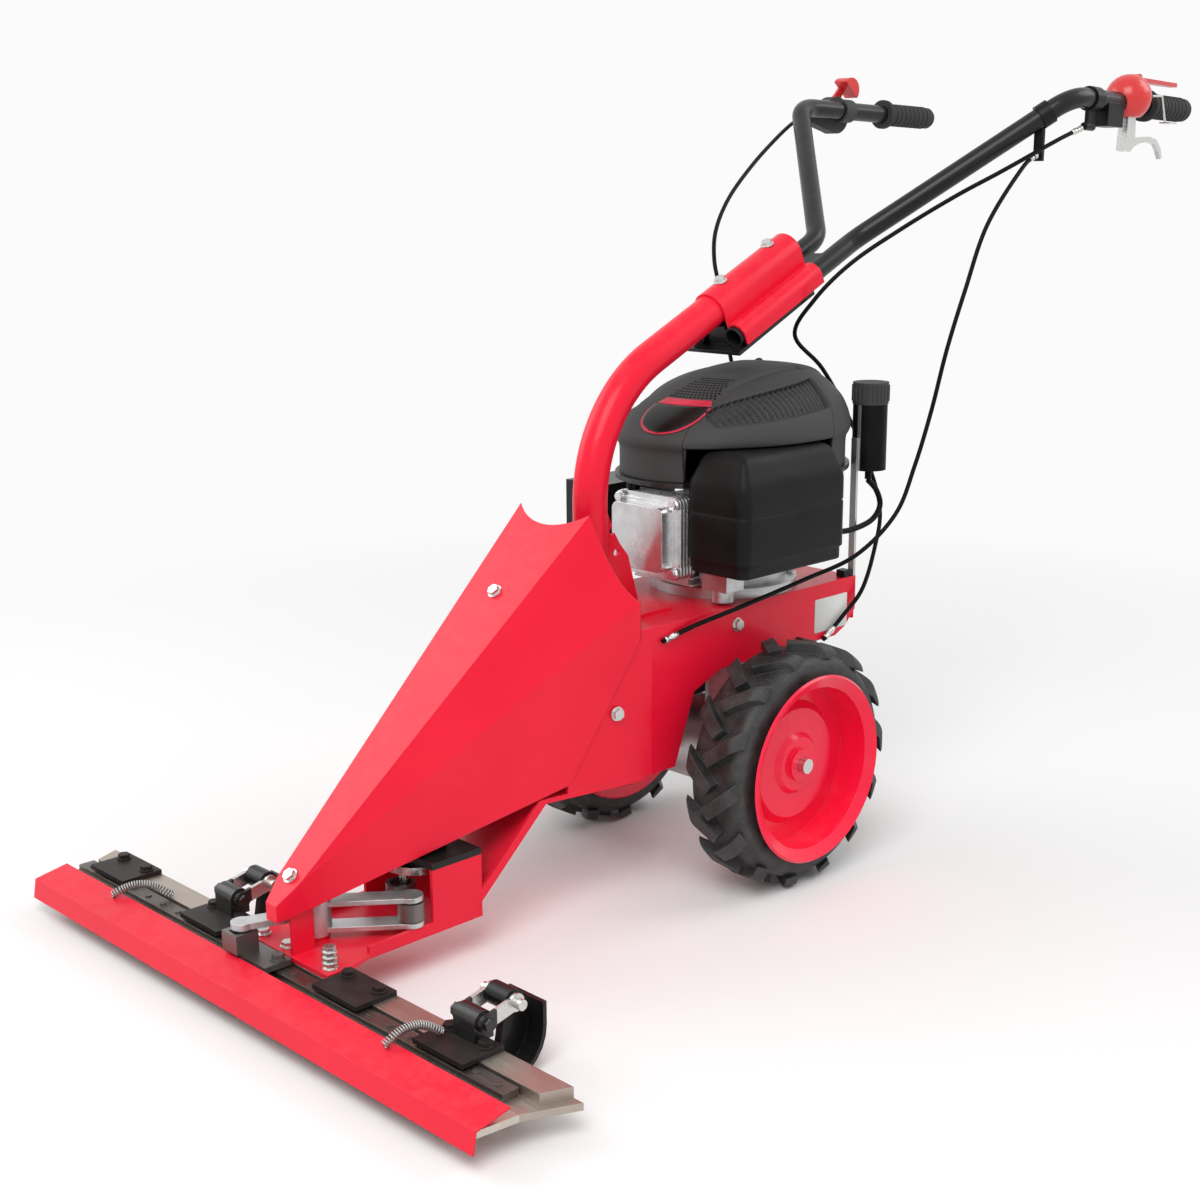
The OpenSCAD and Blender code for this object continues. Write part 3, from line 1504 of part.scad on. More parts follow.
// Skids: a curved shoe on a hinge behind the bar
skid_xs = [hold_x[3], hold_x[1]];
skid_pin_y = 620;
skid_pin_z = 85;
skid_pin_d = 12;
skid_pin_l = 62;
skid_hub_d = 26;
skid_hub_l = 32;
knuckle_y = 662;
knuckle_z = 76;
knuckle_d = 26;
knuckle_l = 34;
link_w = 20;
link_t = 5;
shoe_t = 5;
shoe_r = 48;
shoe_sole = 18;
shoe_toe = 26;
shoe_toe_rise = 11;
shoe_heel = 27;
shoe_heel_y = 585;
shoe_turn_y = -shoe_heel_y - shoe_t / 2 - shoe_r;
shoe_line = concat(
    [
        [shoe_turn_y - shoe_sole - shoe_toe, shoe_t / 2 + shoe_toe_rise],
        [shoe_turn_y - shoe_sole - shoe_toe / 2, shoe_t / 2 + shoe_toe_rise / 4],
        [shoe_turn_y - shoe_sole, shoe_t / 2]
    ],
    [for (a = [0:15:90]) [shoe_turn_y + shoe_r * sin(a), shoe_t / 2 + shoe_r * (1 - cos(a))]],
    [[shoe_turn_y + shoe_r, shoe_t / 2 + shoe_r + shoe_heel]]
);
web_t = 10;

// A round-ended bar in side view, from one (y, z) point to another
module side_link(p, q, w, x, t) {
    rotate([90, 0, 90]) link_bar(p, q, w, x, t);
}

module skid_brackets() {
    knuckle = [-knuckle_y, knuckle_z];
    pin = [-skid_pin_y, skid_pin_z];
    color([0.7, 0.7, 0.7]) at_axle() for (x = skid_xs) translate([x, 0, 0]) {
        translate([0, knuckle.x, knuckle.y]) along_x(-knuckle_l / 2) cylinder(h = knuckle_l, d = knuckle_d);
        translate([-knuckle_l / 2, knuckle.x - knuckle_d / 2, bar_top + hold_t])
            cube([knuckle_l, knuckle_d, knuckle_z - bar_top - hold_t]);
        both_sides() {
            side_link(knuckle, pin, link_w, knuckle_l / 2, link_t);
            translate([0, knuckle.x, knuckle.y]) along_x(knuckle_l / 2 + link_t)
                bolt_head(skid_pin_d * 2 / 3);
        }
        translate([0, pin.x, pin.y]) along_x(-skid_pin_l / 2) cylinder(h = skid_pin_l, d = skid_pin_d);
    }
}

module skid(x) {
    pin = [-skid_pin_y, skid_pin_z];
    inner = [for (i = [3:len(shoe_line) - 2]) shoe_line[i]];
    color([0.1, 0.1, 0.1]) at_axle() translate([x, 0, 0]) difference() {
        union() {
            side_plate(band(shoe_line, shoe_t), -skid_w / 2, skid_w);
            side_plate(concat(inner, [pin]), -web_t / 2, web_t);
            translate([0, pin.x, pin.y]) along_x(-skid_hub_l / 2) cylinder(h = skid_hub_l, d = skid_hub_d);
        }
        translate([0, pin.x, pin.y]) along_x(-skid_w) cylinder(h = 2 * skid_w, d = skid_pin_d + 2 * run_gap);
    }
}

module skid_left() {
    skid(skid_xs[0]);
}

module skid_right() {
    skid(skid_xs[1]);
}

// Transport guard over the fingers, and the two springs that hold it
guard_back = 730;
guard_knee = 774;
guard_top = 54;
guard_knee_z = 46;
guard_low = 22;

module guard() {
    line = [
        [-guard_back, guard_top], [-guard_knee, guard_knee_z], [-front_reach + guard_t / 2, guard_low]
    ];
    color("crimson") at_axle() side_plate(band(line, guard_t), -guard_l / 2, guard_l);
}

spring_d = 10;
wire_d = 2;
wire_sides = 6;
wire_turn = 8;
wire_turns = 4;
spring_rise = 14;
spring_shares = [[0, 0], [0.2, 0.6], [0.4, 0.96], [0.6, 0.97], [0.8, 0.62], [1, 0]];
hook_shares = [0.292, -0.339];
hook_in = 13;
hook_lift = 3.2;
foot_in = [24, 101];
foot_reach = 30;
foot_lifts = [9.5, 3.3];
spring_hooks = [for (s = hook_shares) [s * guard_l, -guard_back - hook_in, guard_top + hook_lift]];
spring_feet = [
    [hold_x[3] - foot_in[0], -bar_reach - foot_reach, bar_top + foot_lifts[0]],
    [hold_x[1] - foot_in[1], -bar_reach - foot_reach, bar_top + foot_lifts[1]]
];
function arch(from, to) = [
    for (s = spring_shares) from + (to - from) * s[0] + [0, 0, spring_rise * s[1]]
];
spring_routes = [for (i = [0, 1]) arch(spring_hooks[i], spring_feet[i])];

function coil(route) =
    let (c = smooth(route, wire_turn * wire_turns), s = sides_of(c), r = (spring_d - wire_d) / 2)
    [
        for (i = [0:len(c) - 1])
            let (b = cross(tangent(c, i), s[i]), a = 360 * i / wire_turn)
            c[i] + r * (s[i] * cos(a) + b * sin(a))
    ];
function self_gap(p) = min([
    for (i = [0:len(p) - 1 - wire_turn / 2], j = [i + wire_turn / 2:len(p) - 1]) norm(p[i] - p[j])
]) - wire_d;
function with_ends(p) = let (n = len(p)) concat(
    [p[0] + unit(p[0] - p[1]) * wire_d], p, [p[n - 1] + unit(p[n - 1] - p[n - 2]) * wire_d]
);

echo(spring_gap = min([for (route = spring_routes) self_gap(coil(route))]));

module guard_springs() {
    color([0.6, 0.6, 0.6]) at_axle() for (route = spring_routes)
        swept(with_ends(coil(route)), wire_d, wire_sides);
}

// Left handle: a domed housing with a folding lever, and a hand lever on a bracket below
dome_back = 172;
dome_r = 33;
dome_lift = 8;
dome_flat = 19;
slot_w = 17.6;
slot_low = 24;
slot_start = 3;
pin_lift = 34;
pin_back = 15;
lever_pin_d = 6;
lever_hub_d = 16;
clutch_l = 122;
clutch_t = 6;
clutch_root_w = 16.8;
clutch_end_w = 11;
bracket_w = 15;
bracket_h = 49;
bracket_shares = [[-0.18, 0], [0.27, 0], [0.35, 0.8], [0.08, 1], [-0.22, 0.96]];
bracket_pin_share = [0.18, 0.78];
bracket_pin = [0, dome_flat] + bracket_h * bracket_pin_share;
bracket_slot_w = 7.4;
bracket_slot_start = -1;
bracket_slot_top = 47;
hand_lever_t = 6.4;
hand_hub_d = 13;
hand_lever_l = 103;
hand_lever_shares = [
    [-0.03, -0.06], [0.3, -0.115], [0.59, -0.135], [0.8, -0.1], [0.94, 0.01], [1, 0.145],
    [0.95, 0.165], [0.87, 0.06], [0.77, -0.03], [0.59, -0.06], [0.3, -0.03], [-0.01, 0.07]
];
bail_d = 3;
bail_shares = [[-0.3, -0.95, 0.36], [-0.36, -0.91, 1.33], [0.76, -0.88, 1.88]];
bail_route = dome_r * bail_shares;
bail_pad = [2, 16, 24];

module clutch_housing() {
    color("crimson") at_axle() on_tube(1, dome_back) {
        difference() {
            translate([-dome_lift, 0, 0]) sphere(dome_r);
            translate([0, 0, -dome_r]) cylinder(h = 2 * dome_r, d = tube_d + 2 * fit_gap);
            translate([dome_flat, -dome_r, -dome_r]) cube(2 * dome_r);
            translate([-slot_low - dome_r, -slot_w / 2, slot_start]) cube([dome_r, slot_w, dome_r]);
            tube_run(bail_route[0], bail_route[1], bail_d + 2 * fit_gap, 0);
        }
        translate([-pin_lift, -slot_w / 2 - over, pin_back]) rotate([-90, 0, 0])
            cylinder(h = slot_w + 2 * over, d = lever_pin_d);
    }
}

module clutch_lever() {
    color("crimson") at_axle() on_tube(1, dome_back) translate([-pin_lift, 0, pin_back]) difference() {
        union() {
            rotate([90, 0, 0]) cylinder(h = clutch_root_w, d = lever_hub_d, center = true);
            translate([-clutch_t / 2, 0, 0]) rotate([0, -90, 180]) linear_extrude(clutch_t) polygon([
                [0, -clutch_root_w / 2], [dome_r, -clutch_root_w / 2], [clutch_l, -clutch_end_w / 2],
                [clutch_l, clutch_end_w / 2], [dome_r, clutch_root_w / 2], [0, clutch_root_w / 2]
            ]);
        }
        rotate([90, 0, 0]) cylinder(h = 2 * clutch_root_w, d = lever_pin_d + 2 * run_gap, center = true);
    }
}

// A shape of (back, down) points on the tube, as a plate across it
module across_tube(t) {
    rotate([-90, -90, 0]) linear_extrude(t, center = true) children();
}

module lever_bracket() {
    color([0.7, 0.7, 0.7]) at_axle() on_tube(1, dome_back) {
        difference() {
            across_tube(bracket_w) polygon([for (p = bracket_shares) [0, dome_flat] + bracket_h * p]);
            translate([bracket_slot_top, -bracket_slot_w / 2, bracket_slot_start])
                cube([dome_r, bracket_slot_w, dome_r]);
        }
        translate([bracket_pin.y, 0, bracket_pin.x]) rotate([90, 0, 0])
            cylinder(h = bracket_w, d = lever_pin_d, center = true);
        for (k = [0:1]) tube_run(bail_route[k], bail_route[k + 1], bail_d, 0);
        translate(bail_route[1]) sphere(d = bail_d + 2 * fit_gap);
        translate(bail_route[2] - [bail_d / 2, bail_pad.y / 2, bail_d]) cube(bail_pad);
    }
}

module drive_lever() {
    color([0.75, 0.75, 0.72]) at_axle() on_tube(1, dome_back) difference() {
        across_tube(hand_lever_t) {
            polygon([for (p = hand_lever_shares) bracket_pin + hand_lever_l * p]);
            translate(bracket_pin) circle(d = hand_hub_d);
        }
        translate([bracket_pin.y, 0, bracket_pin.x]) rotate([90, 0, 0])
            cylinder(h = 2 * bracket_w, d = lever_pin_d + 2 * run_gap, center = true);
    }
}

// Right handle: a flat throttle body beside the tube with a paddle lever
throttle_back = 222;
throttle_r = 29;
throttle_low = 6;
throttle_t = 20;
snout_r = 8;
snout_l = 66;
snout_low = 12;
collar_t = 4;
collar_l = 24;
paddle_pin_d = 8;
paddle_hub_d = 20;
paddle_arm_t = 5;
paddle_at = [34, -36];
paddle_r = 19;
paddle_w = 26;
paddle_arm_w = 12;

module throttle_body() {
    near = tube_d / 2 + move_gap;
    color([0.1, 0.1, 0.1]) at_axle() on_tube(-1, throttle_back) {
        difference() {
            union() {
                translate([0, near + throttle_t / 2, 0]) across_tube(throttle_t)
                    wrapped([0, throttle_low], throttle_r, [-snout_l, snout_low], snout_r);
                translate([0, 0, -collar_l / 2]) cylinder(h = collar_l, d = tube_d + 2 * collar_t);
            }
            translate([0, 0, -snout_l * 2]) cylinder(h = snout_l * 4, d = tube_d + 2 * fit_gap);
        }
        translate([throttle_low, near + throttle_t - over, 0]) rotate([-90, 0, 0])
            cylinder(h = over + move_gap + paddle_arm_t + collar_t, d = paddle_pin_d);
    }
}

module throttle_lever() {
    near = tube_d / 2 + throttle_t + 2 * move_gap;
    hub = [0, throttle_low];
    color("crimson") at_axle() on_tube(-1, throttle_back) difference() {
        union() {
            translate([0, near + paddle_arm_t / 2, 0]) across_tube(paddle_arm_t)
                wrapped(hub, paddle_hub_d / 2, paddle_at, paddle_arm_w / 2);
            translate([0, near + paddle_arm_t - paddle_w / 2, 0]) across_tube(paddle_w) intersection() {
                translate(paddle_at) circle(paddle_r);
                translate(paddle_at) rotate(atan2(paddle_at.y - hub.y, paddle_at.x - hub.x))
                    translate([0, -paddle_r]) square(2 * paddle_r);
            }
        }
        translate([throttle_low, 0, 0]) rotate([-90, 0, 0])
            cylinder(h = 2 * near, d = paddle_pin_d + 2 * run_gap);
    }
}

// Cable fittings: collars and tabs on the left tube, and a tie on the deck
fitting_t = 3;
tab_collar_l = 18;
tab_share = 0.85;
tab_l = 58;
tab_w = 14;
clip_back = 288;
clip_l = 22;
clip_drop = 38;
block_back = 252;
block_l = 44;
block_drop = 36;
barrel_d = 11;
barrel_l = 24;
tie_in = [1, 11];
tie_at = [deck_w / 2, deck_rear] - tie_in;
tie_size = [14, 14, 10];

module cable_fittings() {
    run = tube_points(1);
    v = run[2] - run[1];
    p = run[1] + v * tab_share;
    color([0.12, 0.12, 0.12]) at_axle() {
        difference() {
            union() {
                translate(p) rotate([0, acos(v.z / norm(v)), atan2(v.y, v.x)])
                    cylinder(h = tab_collar_l, d = tube_d + 2 * fitting_t);
                translate(p - [tab_w / 2, 0, tab_l]) cube([tab_w, 2 * fitting_t, tab_l]);
            }
            translate(p - v / 2) rotate([0, acos(v.z / norm(v)), atan2(v.y, v.x)])
                cylinder(h = norm(v), d = tube_d + 2 * fit_gap);
        }
        on_tube(1, clip_back) difference() {
            union() {
                cylinder(h = clip_l, d = tube_d + 2 * fitting_t);
                translate([0, -fitting_t, 0]) cube([clip_drop, 2 * fitting_t, clip_l]);
                translate([clip_drop, 0, -barrel_l / 4]) cylinder(h = barrel_l, d = barrel_d);
            }
            translate([0, 0, -over]) cylinder(h = clip_l + 2 * over, d = tube_d + 2 * fit_gap);
        }
        on_tube(1, block_back) difference() {
            translate([0, -tube_d / 2, 0]) cube([block_drop, tube_d, block_l]);
            translate([0, 0, -over]) cylinder(h = block_l + 2 * over, d = tube_d + 2 * fit_gap);
        }
        translate([tie_at.x - tie_size.x, tie_at.y - tie_size.y, deck_z]) cube(tie_size);
    }
}

// Control cables, each along its own route
cable_d = 6;
cable_sides = 8;
cable_steps = 2;
throttle_route = [
    [-263, 539, 1010], [-252, 500, 1002], [-220, 420, 976], [-190, 330, 936], [-160, 245, 890],
    [-132, 186, 846], [-104, 152, 805], [-88, 148, 762], [-100, 174, 708], [-122, 212, 656],
    [-130, 240, 614.5]
];
clutch_route = [
    [240, 540, 985], [232, 490, 968], [204, 397, 926], [172, 335, 893], [132, 268, 850], [92, 211, 805],
    [58, 176, 756], [22, 180, 706], [20, 245, 655], [30, 290, 590], [60, 310, 510], [84, 306, 450],
    [100, 274, 400], [112, 232, 350], [111, 190, 318], [108.5, 150, 290]
];
drive_route = [
    [211, 472, 948], [216, 428, 930], [218, 345, 855], [210, 311, 769], [198, 291, 689], [188, 275, 607],
    [180, 252, 532], [172, 222, 467], [150, 165, 415], [126, 82, 390], [118, -39, 372], [112, -120, 361],
    [108.5, -176, 350]
];

module control_cables() {
    color([0.06, 0.06, 0.06]) at_axle() for (route = [throttle_route, clutch_route, drive_route])
        swept(smooth(route, cable_steps), cable_d, cable_sides);
}

main_frame();
front_base();
front_cover();
frame_bolts();
column();
clamp_saddle();
clamp_plate();
clamp_bolts();
handlebar_left();
handlebar_right();
handlebar_tie();
grips();
engine_base();
cylinder_head();
engine_cowl();
air_filter_base();
air_filter_cover();
carburettor();
muffler();
fuel_filler();
fuel_cap();
fuel_hose();
oil_filler();
oil_cap();
starter_guide();
starter_handle();
spark_plug();
engine_pulley();
gearbox();
gearbox_pulley();
drive_axle();
drive_belts();
rim_left();
rim_right();
tyre_left();
tyre_right();
crank_housing();
crank();
con_rod();
rocker();
rocker_pivot();
cutter_bar();
fingers();
knife();
knife_head();
hold_downs();
hold_down_bolts();
skid_brackets();
skid_left();
skid_right();
guard();
guard_springs();
throttle_body();
throttle_lever();
clutch_housing();
clutch_lever();
lever_bracket();
drive_lever();
cable_fittings();
control_cables();
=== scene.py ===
"""Walk-behind sickle bar mower: finishes, cables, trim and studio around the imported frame."""
from __future__ import annotations

import logging
import math
from dataclasses import dataclass, replace
from enum import Enum
from typing import Any, Mapping, Sequence

import bpy
import numpy as np
from mathutils import Matrix, Vector

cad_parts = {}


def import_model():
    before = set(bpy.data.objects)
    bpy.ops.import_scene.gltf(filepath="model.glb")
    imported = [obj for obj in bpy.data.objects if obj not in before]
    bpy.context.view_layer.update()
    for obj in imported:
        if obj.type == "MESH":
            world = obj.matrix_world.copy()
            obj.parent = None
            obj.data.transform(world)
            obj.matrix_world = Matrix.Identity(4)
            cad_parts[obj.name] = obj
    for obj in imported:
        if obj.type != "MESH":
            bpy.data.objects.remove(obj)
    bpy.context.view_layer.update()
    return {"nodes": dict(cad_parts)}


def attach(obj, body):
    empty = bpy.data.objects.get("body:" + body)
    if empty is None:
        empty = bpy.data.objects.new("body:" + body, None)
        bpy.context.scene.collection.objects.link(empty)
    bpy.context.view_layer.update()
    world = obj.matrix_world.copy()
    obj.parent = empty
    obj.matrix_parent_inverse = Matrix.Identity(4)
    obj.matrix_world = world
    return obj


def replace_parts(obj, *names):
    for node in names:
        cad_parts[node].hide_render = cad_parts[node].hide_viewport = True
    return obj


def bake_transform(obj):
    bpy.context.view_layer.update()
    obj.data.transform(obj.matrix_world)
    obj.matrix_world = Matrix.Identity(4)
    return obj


LOG = logging.getLogger("mower")

Colour = tuple[float, float, float]
Point = tuple[float, float, float]
Pair = tuple[float, float]

# A millimetre in metres, and the axle's place along y in millimetres
MM = 0.001
AXLE_Y = -28.0

# A full turn, and a direction that no cord starts along
TURN = 2.0 * math.pi
SLANT: Point = (0.3, 0.2, 0.93)

# The limits of most noise, and of the cosine between rounded and true normals at an edge
MIDDLE: Pair = (0.3, 0.7)
EDGE_DOTS: Pair = (0.985, 0.86)
BEVEL_SAMPLES = 4


class Value:
    """A shader socket whose arithmetic adds Math nodes."""

    def __init__(self, graph: Graph, socket: bpy.types.NodeSocket) -> None:
        """Keeps the graph and the socket."""
        self.graph = graph
        self.socket = socket

    def _with(self, operation: str, other: Value | float, swapped: bool = False) -> Value:
        """Adds one Math node.

        Args:
            operation: The Math node's operation.
            other: A number or another value.
            swapped: True where other comes first.

        Returns:
            The Math node's result.
        """
        pair = (other, self) if swapped else (self, other)
        return self.graph.node("ShaderNodeMath", {"operation": operation}, {0: pair[0], 1: pair[1]})

    def __add__(self, other: Value | float) -> Value:
        """Sum."""
        return self._with("ADD", other)

    def __radd__(self, other: Value | float) -> Value:
        """Sum, other first."""
        return self._with("ADD", other, True)

    def __sub__(self, other: Value | float) -> Value:
        """Difference."""
        return self._with("SUBTRACT", other)

    def __rsub__(self, other: Value | float) -> Value:
        """Difference, other first."""
        return self._with("SUBTRACT", other, True)

    def __mul__(self, other: Value | float) -> Value:
        """Product."""
        return self._with("MULTIPLY", other)

    def __rmul__(self, other: Value | float) -> Value:
        """Product, other first."""
        return self._with("MULTIPLY", other, True)

    def __pow__(self, other: Value | float) -> Value:
        """Power."""
        return self._with("POWER", other)

    def at_least(self, other: Value | float) -> Value:
        """The greater of two values."""
        return self._with("MAXIMUM", other)


class Graph:
    """A tree of shader nodes."""

    def __init__(self, tree: bpy.types.NodeTree) -> None:
        """Keeps the tree and clears it."""
        self.tree = tree
        self.tree.nodes.clear()

    def feed(self, socket: bpy.types.NodeSocket, value: Any) -> None:
        """Sets a socket from a number, a colour or a value.

        Args:
            socket: The input to set.
            value: What it gets.
        """
        if isinstance(value, Value):
            self.tree.links.new(value.socket, socket)
        elif isinstance(value, (tuple, list)) and len(value) == 3 and socket.type == "RGBA":
            socket.default_value = (*value, 1.0)
        else:
            socket.default_value = value

    def add(
        self,
        kind: str,
        settings: Mapping[str, Any] | None = None,
        inputs: Mapping[Any, Any] | None = None,
    ) -> bpy.types.Node:
        """Adds any node.

        Args:
            kind: The node's type.
            settings: Attributes, which are set first.
            inputs: Values or links by socket name or index.

        Returns:
            The new node.
        """
        node = self.tree.nodes.new(kind)
        for key, setting in (settings or {}).items():
            setattr(node, key, setting)
        for key, value in (inputs or {}).items():
            self.feed(node.inputs[key], value)
        return node

    def node(
        self,
        kind: str,
        settings: Mapping[str, Any] | None = None,
        inputs: Mapping[Any, Any] | None = None,
        out: Any = 0,
    ) -> Value:
        """Adds any node and takes one of its outputs, by name or index; the rest is as in add."""
        return Value(self, self.add(kind, settings, inputs).outputs[out])

    def shown_rays(self) -> Value:
        """Tells the rays that see the background.

        Returns:
            1 for camera, glossy and transmission rays, else 0.
        """
        kinds = ("Camera", "Glossy", "Transmission")
        camera, glossy, through = (self.node("ShaderNodeLightPath", out=f"Is {kind} Ray") for kind in kinds)
        return camera.at_least(glossy).at_least(through)

    def place(self, scale: Point) -> Value:
        """Object coordinates, scaled by a Mapping node."""
        coords = self.node("ShaderNodeTexCoord", out="Object")
        return self.node("ShaderNodeMapping", None, {"Vector": coords, "Scale": scale})

    def noise(
        self, size: float, detail: float = 3.0, rough: float = 0.5, stretch: Point = (1, 1, 1)
    ) -> Value:
        """Noise texture.

        Args:
            size: The size of its features, in metres.
            detail: How many finer octaves it has.
            rough: How strong the finer octaves are.
            stretch: How many times longer its features are along each axis.

        Returns:
            The noise, from 0 to 1.
        """
        scale = tuple(1.0 / (size * s) for s in stretch)
        settings = {"noise_dimensions": "3D"}
        inputs = {"Vector": self.place(scale), "Scale": 1.0, "Detail": detail, "Roughness": rough}
        return self.node("ShaderNodeTexNoise", settings, inputs, "Fac")

    def cells(self, size: float) -> Value:
        """The distance to the nearest centre of Voronoi cells about size metres across."""
        inputs = {"Vector": self.place((1.0 / size,) * 3), "Scale": 1.0}
        return self.node("ShaderNodeTexVoronoi", {"feature": "F1"}, inputs, "Distance")

    def span(self, value: Value, low: float, high: float, start: float = 0.0, stop: float = 1.0) -> Value:
        """Maps low to start and high to stop, clamped."""
        inputs = {0: value, 1: low, 2: high, 3: start, 4: stop}
        return self.node("ShaderNodeMapRange", {"clamp": True}, inputs)

    def blend(self, share: Any, first: Any, second: Any) -> Value:
        """Mixes two colours."""
        return self.node("ShaderNodeMix", {"data_type": "RGBA"}, {0: share, 6: first, 7: second}, 2)

    def axis(self, name: str) -> Value:
        """One Object coordinate, X, Y or Z, in metres."""
        coords = self.node("ShaderNodeTexCoord", out="Object")
        return self.node("ShaderNodeSeparateXYZ", None, {0: coords}, name)

    def rounded(self, radius: float) -> Value:
        """Normals that round hard edges by radius metres."""
        return self.node("ShaderNodeBevel", {"samples": BEVEL_SAMPLES}, {"Radius": radius}, "Normal")

    def edges(self, radius: float) -> Value:
        """Finds hard edges: the rounded normal leaves the true one there.

        Args:
            radius: How far from an edge it reaches, in metres.

        Returns:
            About 1 along hard edges and 0 on faces.
        """
        true = self.node("ShaderNodeNewGeometry", out="Normal")
        pair = {0: self.rounded(radius), 1: true}
        dot = self.node("ShaderNodeVectorMath", {"operation": "DOT_PRODUCT"}, pair, "Value")
        return self.span(dot, *EDGE_DOTS)

    def bump(self, height: Value, strength: float, depth: float, normal: Value | None = None) -> Value:
        """A Bump node.

        Args:
            height: The height, from 0 to 1.
            strength: The node's strength.
            depth: The depth of the relief, in metres.
            normal: The normal that it works on, if not the surface's own.

        Returns:
            The new normal.
        """
        inputs = {"Height": height, "Strength": strength, "Distance": depth}
        if normal is not None:
            inputs["Normal"] = normal
        return self.node("ShaderNodeBump", None, inputs)


class Surface(Graph):
    """A material's node tree, with its shader and its output."""

    def __init__(self, material: bpy.types.Material) -> None:
        """Clears the tree and adds the shader and its output.

        Args:
            material: The material to build.
        """
        material.use_nodes = True
        super().__init__(material.node_tree)
        self.shader = self.add("ShaderNodeBsdfPrincipled")
        self.plain = Value(self, self.shader.outputs[0])
        self.output = self.add("ShaderNodeOutputMaterial", inputs={0: self.plain})

    def finish(self, **sockets: Any) -> None:
        """Feeds the shader's sockets, named with _ for spaces."""
        for name, value in sockets.items():
            self.feed(self.shader.inputs[name.replace("_", " ").title().replace("Ior", "IOR")], value)


@dataclass(frozen=True)
class Zone:
    """A zone of a piece in another coat: all that lies past a level along one axis, in metres."""

    axis: str
    low: float
    high: float
    colour: Colour = (0.012, 0.011, 0.011)
    metallic: float = 0.0

    def share(self, g: Graph) -> Value:
        """1 in the zone and 0 outside it."""
        return g.span(g.axis(self.axis), self.low, self.high)


def lighter(colour: Colour, share: float) -> Colour:
    """The colour moved by share towards white."""
    return tuple(c + (1.0 - c) * share for c in colour)


def darker(colour: Colour, share: float) -> Colour:
    """The colour moved by share towards black."""
    return tuple(c * (1.0 - share) for c in colour)


@dataclass(frozen=True)
class Finish:
    """A surface finish: its colour, how rough it is, and any zone in another coat.

    Tones are how far the colour darkens and lightens, and spread is how far the roughness falls and
    rises. Wear and highlight is how strongly hard edges show and how much lighter they are: on enamel
    this lightening is a painted highlight, on the other finishes it is wear. Grain, depth and edge are
    in metres: the size and the depth of the relief, and the radius that hard edges seem to have.
    """

    name: str
    colour: Colour
    rough: float
    zone: Zone | None = None
    tones: Pair = (0.2, 0.05)
    spread: Pair = (-0.08, 0.08)
    wear_and_highlight: Pair = (0.5, 0.1)
    grain: float = 0.0016
    depth: float = 0.0002
    strength: float = 0.35
    edge: float = 0.0012

    def tone(self, g: Graph, share: Value) -> Value:
        """The colour from its darker tone at 0 to its lighter one at 1."""
        return g.blend(share, darker(self.colour, self.tones[0]), lighter(self.colour, self.tones[1]))

    def with_wear_and_highlight(self, g: Graph, tone: Value, edges: Value) -> Value:
        """The tone, lighter where edges is 1: a painted highlight on enamel, wear on the other finishes."""
        return g.blend(edges * self.wear_and_highlight[0], tone, lighter(self.colour, self.wear_and_highlight[1]))

    def roughness(self, g: Graph, share: Value, limits: Pair = MIDDLE) -> Value:
        """The roughness, lowest where share is at the first limit and highest at the second."""
        return g.span(share, *limits, self.rough + self.spread[0], self.rough + self.spread[1])

    def relief(self, g: Graph, height: Value) -> Value:
        """Normals of rounded edges and fine relief."""
        return g.bump(height, self.strength, self.depth, g.rounded(self.edge))

    def coats(self, g: Graph, base: Value, metallic: float) -> dict[str, Any]:
        """Lays the zone's coat over the rest.

        Args:
            g: The material's tree.
            base: The colour outside the zone.
            metallic: The metallic value outside the zone.

        Returns:
            The shader's base colour and metallic value.
        """
        if self.zone is None:
            return {"base_color": base, "metallic": metallic}
        share = self.zone.share(g)
        mixed = metallic + (self.zone.metallic - metallic) * share
        return {"base_color": g.blend(share, base, self.zone.colour), "metallic": mixed}

    def paint(self, g: Surface) -> None:
        """Builds the nodes; each kind of finish has its own."""
        raise NotImplementedError

    def material(self) -> bpy.types.Material:
        """Makes the material once.

        Returns:
            The finish as a material.
        """
        found = bpy.data.materials.get(self.name)
        if found is None:
            found = bpy.data.materials.new(self.name)
            self.paint(Surface(found))
        return found


@dataclass(frozen=True)
class Enamel(Finish):
    """Powder coat: orange peel, a clear gloss, a painted highlight along hard edges and a trace of dust on
    faces that look up.
    """

    tones: Pair = (0.07, 0.004)
    spread: Pair = (-0.04, 0.06)
    # Painted highlight: how strongly the enamel's hard edges are lightened, and by how much
    wear_and_highlight: Pair = (0.35, 0.1)
    grain: float = 0.0012
    depth: float = 0.00012
    strength: float = 0.22
    gloss: float = 0.35
    gloss_rough: float = 0.12
    shine: float = 0.2
    mottle: float = 0.16
    mottle_limits: Pair = (0.35, 0.65)
    dust: float = 0.05
    dust_size: float = 0.02
    dust_limits: Pair = (0.42, 0.75)
    dust_colour: Colour = (0.62, 0.58, 0.55)
    dust_slope: Pair = (0.35, 1.0)

    def paint(self, g: Surface) -> None:
        """Broad noise varies colour and gloss, fine noise makes the peel, hard edges get a painted
        highlight, and dust lies on level faces.

        Args:
            g: The material's tree.
        """
        broad = g.noise(self.mottle, detail=2.0)
        peel = g.noise(self.grain, detail=2.0)
        up = g.node("ShaderNodeSeparateXYZ", None, {0: g.node("ShaderNodeNewGeometry", out="Normal")}, "Z")
        spots = g.span(g.noise(self.dust_size, detail=5.0, rough=0.65), *self.dust_limits)
        dust = g.span(up, *self.dust_slope) * spots * self.dust
        tone = self.tone(g, g.span(broad, *self.mottle_limits))
        g.finish(
            # Hard edges are lightened as a painted highlight, then dust is laid over
            base_color=g.blend(dust, self.with_wear_and_highlight(g, tone, g.edges(self.edge)), self.dust_colour),
            roughness=self.roughness(g, broad) + dust,
            coat_weight=self.gloss,
            coat_roughness=self.gloss_rough,
            specular_ior_level=self.shine,
            normal=self.relief(g, peel),
        )


